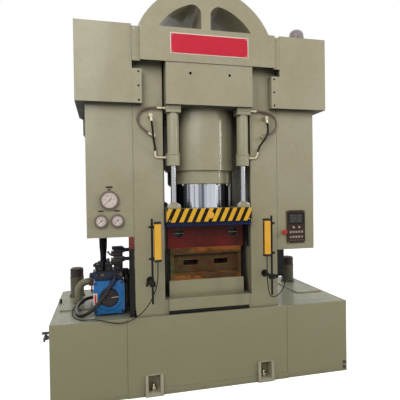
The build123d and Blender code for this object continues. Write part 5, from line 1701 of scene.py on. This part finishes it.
@dataclass(frozen=True)
class BaseTrim(Trim):
    """Cover bolts on the deck, joint strips, weld seams, black strips that paint the shadows under the bolster's top
    flange and under the apron, and the breather's ribs.
    """

    deck: float = 687.0
    front: float = -600.0
    bolt_columns: tuple[float, float] = (1046.0, 1289.0)
    first_bolt: float = -195.0
    bolt_pitch: float = 183.75
    bolt_rows: int = 5
    joint: float = 657.0
    joint_foot: tuple[float, float] = (1362.0, 1192.0)
    joint_top: float = 2476.0
    weld: float = 730.0
    weld_foot: float = 60.0
    weld_pitch: float = 8.0
    weld_beads: int = 76
    breather: Point = (903.0, -500.0, 3146.0)
    rib_pitch: float = 18.0

    def build(self) -> None:
        """Makes the pieces."""
        bolts = self.piece("deck_bolts", Coating.ZINC)
        for side, x, row in product(SIDES, self.bolt_columns, range(self.bolt_rows)):
            bolts.bolt((side * x, self.first_bolt + self.bolt_pitch * row, self.deck), UP, 6.5, 6.0)
        bolts.finish("zinc_steel")
        strips = self.piece("joint_strips", Coating.MACHINE)
        for side, low in zip(SIDES, self.joint_foot):
            x = side * self.joint
            strips.box((x - 2.9, -563, low), (x + 2.9, -556, self.joint_top), 1.0, 1)
        strips.finish("machine_paint")
        # Painted shadow: a black strip below the bolster's top flange, where its shadow falls.
        flange_shadow = self.piece("bolster_shadow_strip", Coating.BLACK_PAINT)
        flange_shadow.box((-331.5, -468.0, 1168), (331.5, -462.0, 1175), 1.5)
        flange_shadow.finish("black_paint")
        # Painted shadow: a black strip fills the gap under the apron, where shade falls.
        apron_shadow = self.piece("apron_shadow_strip", Coating.BLACK_RUBBER)
        apron_shadow.box((-366, -583, 675.5), (366, -566, 707), 2.0)
        apron_shadow.finish("black_rubber")
        self.welds()
        ribs = self.piece("breather_ribs", Coating.GREY_PAINT, self.breather)
        for step in range(3):
            ribs.turned([(67.0, 0.0), (70.0, 1.5), (70.0, 6.5), (67.0, 8.0)],
                        (0.0, 0.0, self.rib_pitch * step), UP, 48)
        ribs.finish("grey_paint", "breather")

    def welds(self) -> None:
        """Makes the two upright weld seams on the base's front, bead by bead."""
        welds = self.piece("base_welds", Coating.SEAM_PAINT)
        y = self.front + 1.2
        for side, bead in product(SIDES, range(self.weld_beads)):
            x, z = side * self.weld, self.weld_foot + self.weld_pitch * bead
            welds.rod((x, y, z), (x, y, z + self.weld_pitch + 1), 3.0, 8, top_radius=2.4)
        welds.finish("machine_paint")


@dataclass(frozen=True)
class Studio:
    """Floor, backdrop light, lamps and camera."""

    focal: float = 401.471
    frame_width: float = 400.0
    sensor: float = 36.0
    yaw: float = math.radians(13.773)
    pitch: float = math.radians(-0.755)
    roll: float = math.radians(-0.8)
    place: Point = (-0.921, -4.008, 1.71)
    floor_size: float = 40.0
    floor_shown: Colour = tone(246, 246, 246)
    floor_bounced: Colour = tone(104, 104, 106)
    floor_glow: float = 0.66
    air_light: tuple[float, float] = (0.12, 0.46)

    def build(self) -> None:
        """Sets up the floor, the lamps, the world and the camera."""
        self.floor()
        self.world()
        self.lamp("key", (-2.6, -5.4, 4.8), (0.0, 0.0, 2.3), 4.0, 178.0)
        self.lamp("rear", (-1.5, 4.6, 5.2), (0.0, 0.4, 1.8), 3.5, 80.0)
        self.lamp("strip", (4.9, -3.3, 3.4), (0.0, -0.4, 2.2), 0.3, 78.0, 2.6)
        self.camera()
        bpy.context.scene.view_settings.view_transform = "Standard"
        LOG.info("studio: floor, lamps and camera")

    def seen(self, bench: Bench) -> bpy.types.NodeSocket:
        """Marks the rays that reach the camera straight, mirrored or through glass.

        Args:
            bench: The bench of the material or the world.

        Returns:
            The mark's socket, 1 on such rays.
        """
        rays = bench.add("LightPath")
        straight = bench.sum("MAXIMUM", rays.outputs["Is Camera Ray"], rays.outputs["Is Glossy Ray"])
        return bench.sum("MAXIMUM", straight, rays.outputs["Is Transmission Ray"])

    def floor(self) -> None:
        """Pale floor that turns white away from the press and keeps its shadow."""
        mesh = bmesh.new()
        bmesh.ops.create_grid(mesh, x_segments=2, y_segments=2, size=self.floor_size)
        data = bpy.data.meshes.new("studio_floor")
        mesh.to_mesh(data)
        mesh.free()
        piece = bpy.data.objects.new("studio_floor", data)
        bpy.context.scene.collection.objects.link(piece)
        material = bpy.data.materials.new("floor_white")
        material.use_nodes = True
        bench = Bench(material.node_tree)
        shader = material.node_tree.nodes["Principled BSDF"]
        shader.inputs["Roughness"].default_value = 0.9
        seen = self.seen(bench)
        shader.inputs["Emission Color"].default_value = (1.0, 1.0, 1.0, 1.0)
        bench.feed(shader, "Base Color", bench.mix(seen, self.floor_bounced, self.floor_shown))
        bench.feed(shader, "Emission Strength", bench.sum("MULTIPLY", seen, self.floor_glow))
        data.materials.append(material)

    def world(self) -> None:
        """Even pale light that shows white to the camera and in reflections."""
        world = bpy.data.worlds.new("studio_air")
        bpy.context.scene.world = world
        world.use_nodes = True
        bench = Bench(world.node_tree)
        background = world.node_tree.nodes["Background"]
        background.inputs["Color"].default_value = (1.0, 1.0, 1.0, 1.0)
        seen = self.seen(bench)
        height = bench.add("SeparateXYZ", Vector=bench.add("TexCoord").outputs["Generated"]).outputs[2]
        strength = bench.add("Mix", {"data_type": "FLOAT"})
        bench.feed(strength, 0, seen)
        bench.feed(strength, 2, bench.between(height, -0.5, 0.6, *self.air_light))
        bench.feed(strength, 3, 1.0)
        bench.feed(background, "Strength", strength.outputs[0])

    def lamp(self, name: str, place: Point, target: Point, size: float, power: float,
             height: float = 0.0) -> None:
        """Adds one soft lamp.

        Args:
            name: The lamp's name.
            place: Where it stands, in metres.
            target: What it points at.
            size: Its width in metres.
            power: Its power in watts.
            height: Its height in metres, where it isn't square.
        """
        light = bpy.data.lights.new(name + "_lamp", "AREA")
        light.shape = "RECTANGLE"
        light.size = size
        light.size_y = height or size
        light.energy = power
        lamp = bpy.data.objects.new(name + "_lamp", light)
        towards = Vector(target) - Vector(place)
        lamp.matrix_world = Matrix.Translation(place) @ towards.to_track_quat("-Z", "Y").to_matrix().to_4x4()
        bpy.context.scene.collection.objects.link(lamp)

    def camera(self) -> None:
        """Camera at the photograph's place and angle."""
        data = bpy.data.cameras.new("viewpoint")
        data.sensor_width = self.sensor
        data.lens = self.focal / self.frame_width * self.sensor
        camera = bpy.data.objects.new("viewpoint", data)
        forward = Vector((math.sin(self.yaw) * math.cos(self.pitch), math.cos(self.yaw) * math.cos(self.pitch),
                          math.sin(self.pitch)))
        level = Vector((math.cos(self.yaw), -math.sin(self.yaw), 0.0))
        upright = level.cross(forward)
        right = math.cos(self.roll) * level + math.sin(self.roll) * upright
        top = -math.sin(self.roll) * level + math.cos(self.roll) * upright
        turn = Matrix((right, top, -forward)).transposed().to_4x4()
        camera.matrix_world = Matrix.Translation(self.place) @ turn
        bpy.context.scene.collection.objects.link(camera)
        bpy.context.scene.camera = camera


def main() -> None:
    """Builds the studio, the hoses and every dressed sub-assembly in order."""
    logging.basicConfig(level=logging.INFO, format="%(name)s: %(message)s")
    effects = Effects()
    Studio().build()
    Hoses().build(effects)
    Bodywork().dress(effects)
    for kind in (HeaderTrim, Gauges, OperatorPanel, CurtainTrim, PowerPackTrim, FilterCaps, SlideTrim,
                 CylinderTrim, BaseTrim):
        kind(effects).build()


if __name__ == "__main__":
    main()
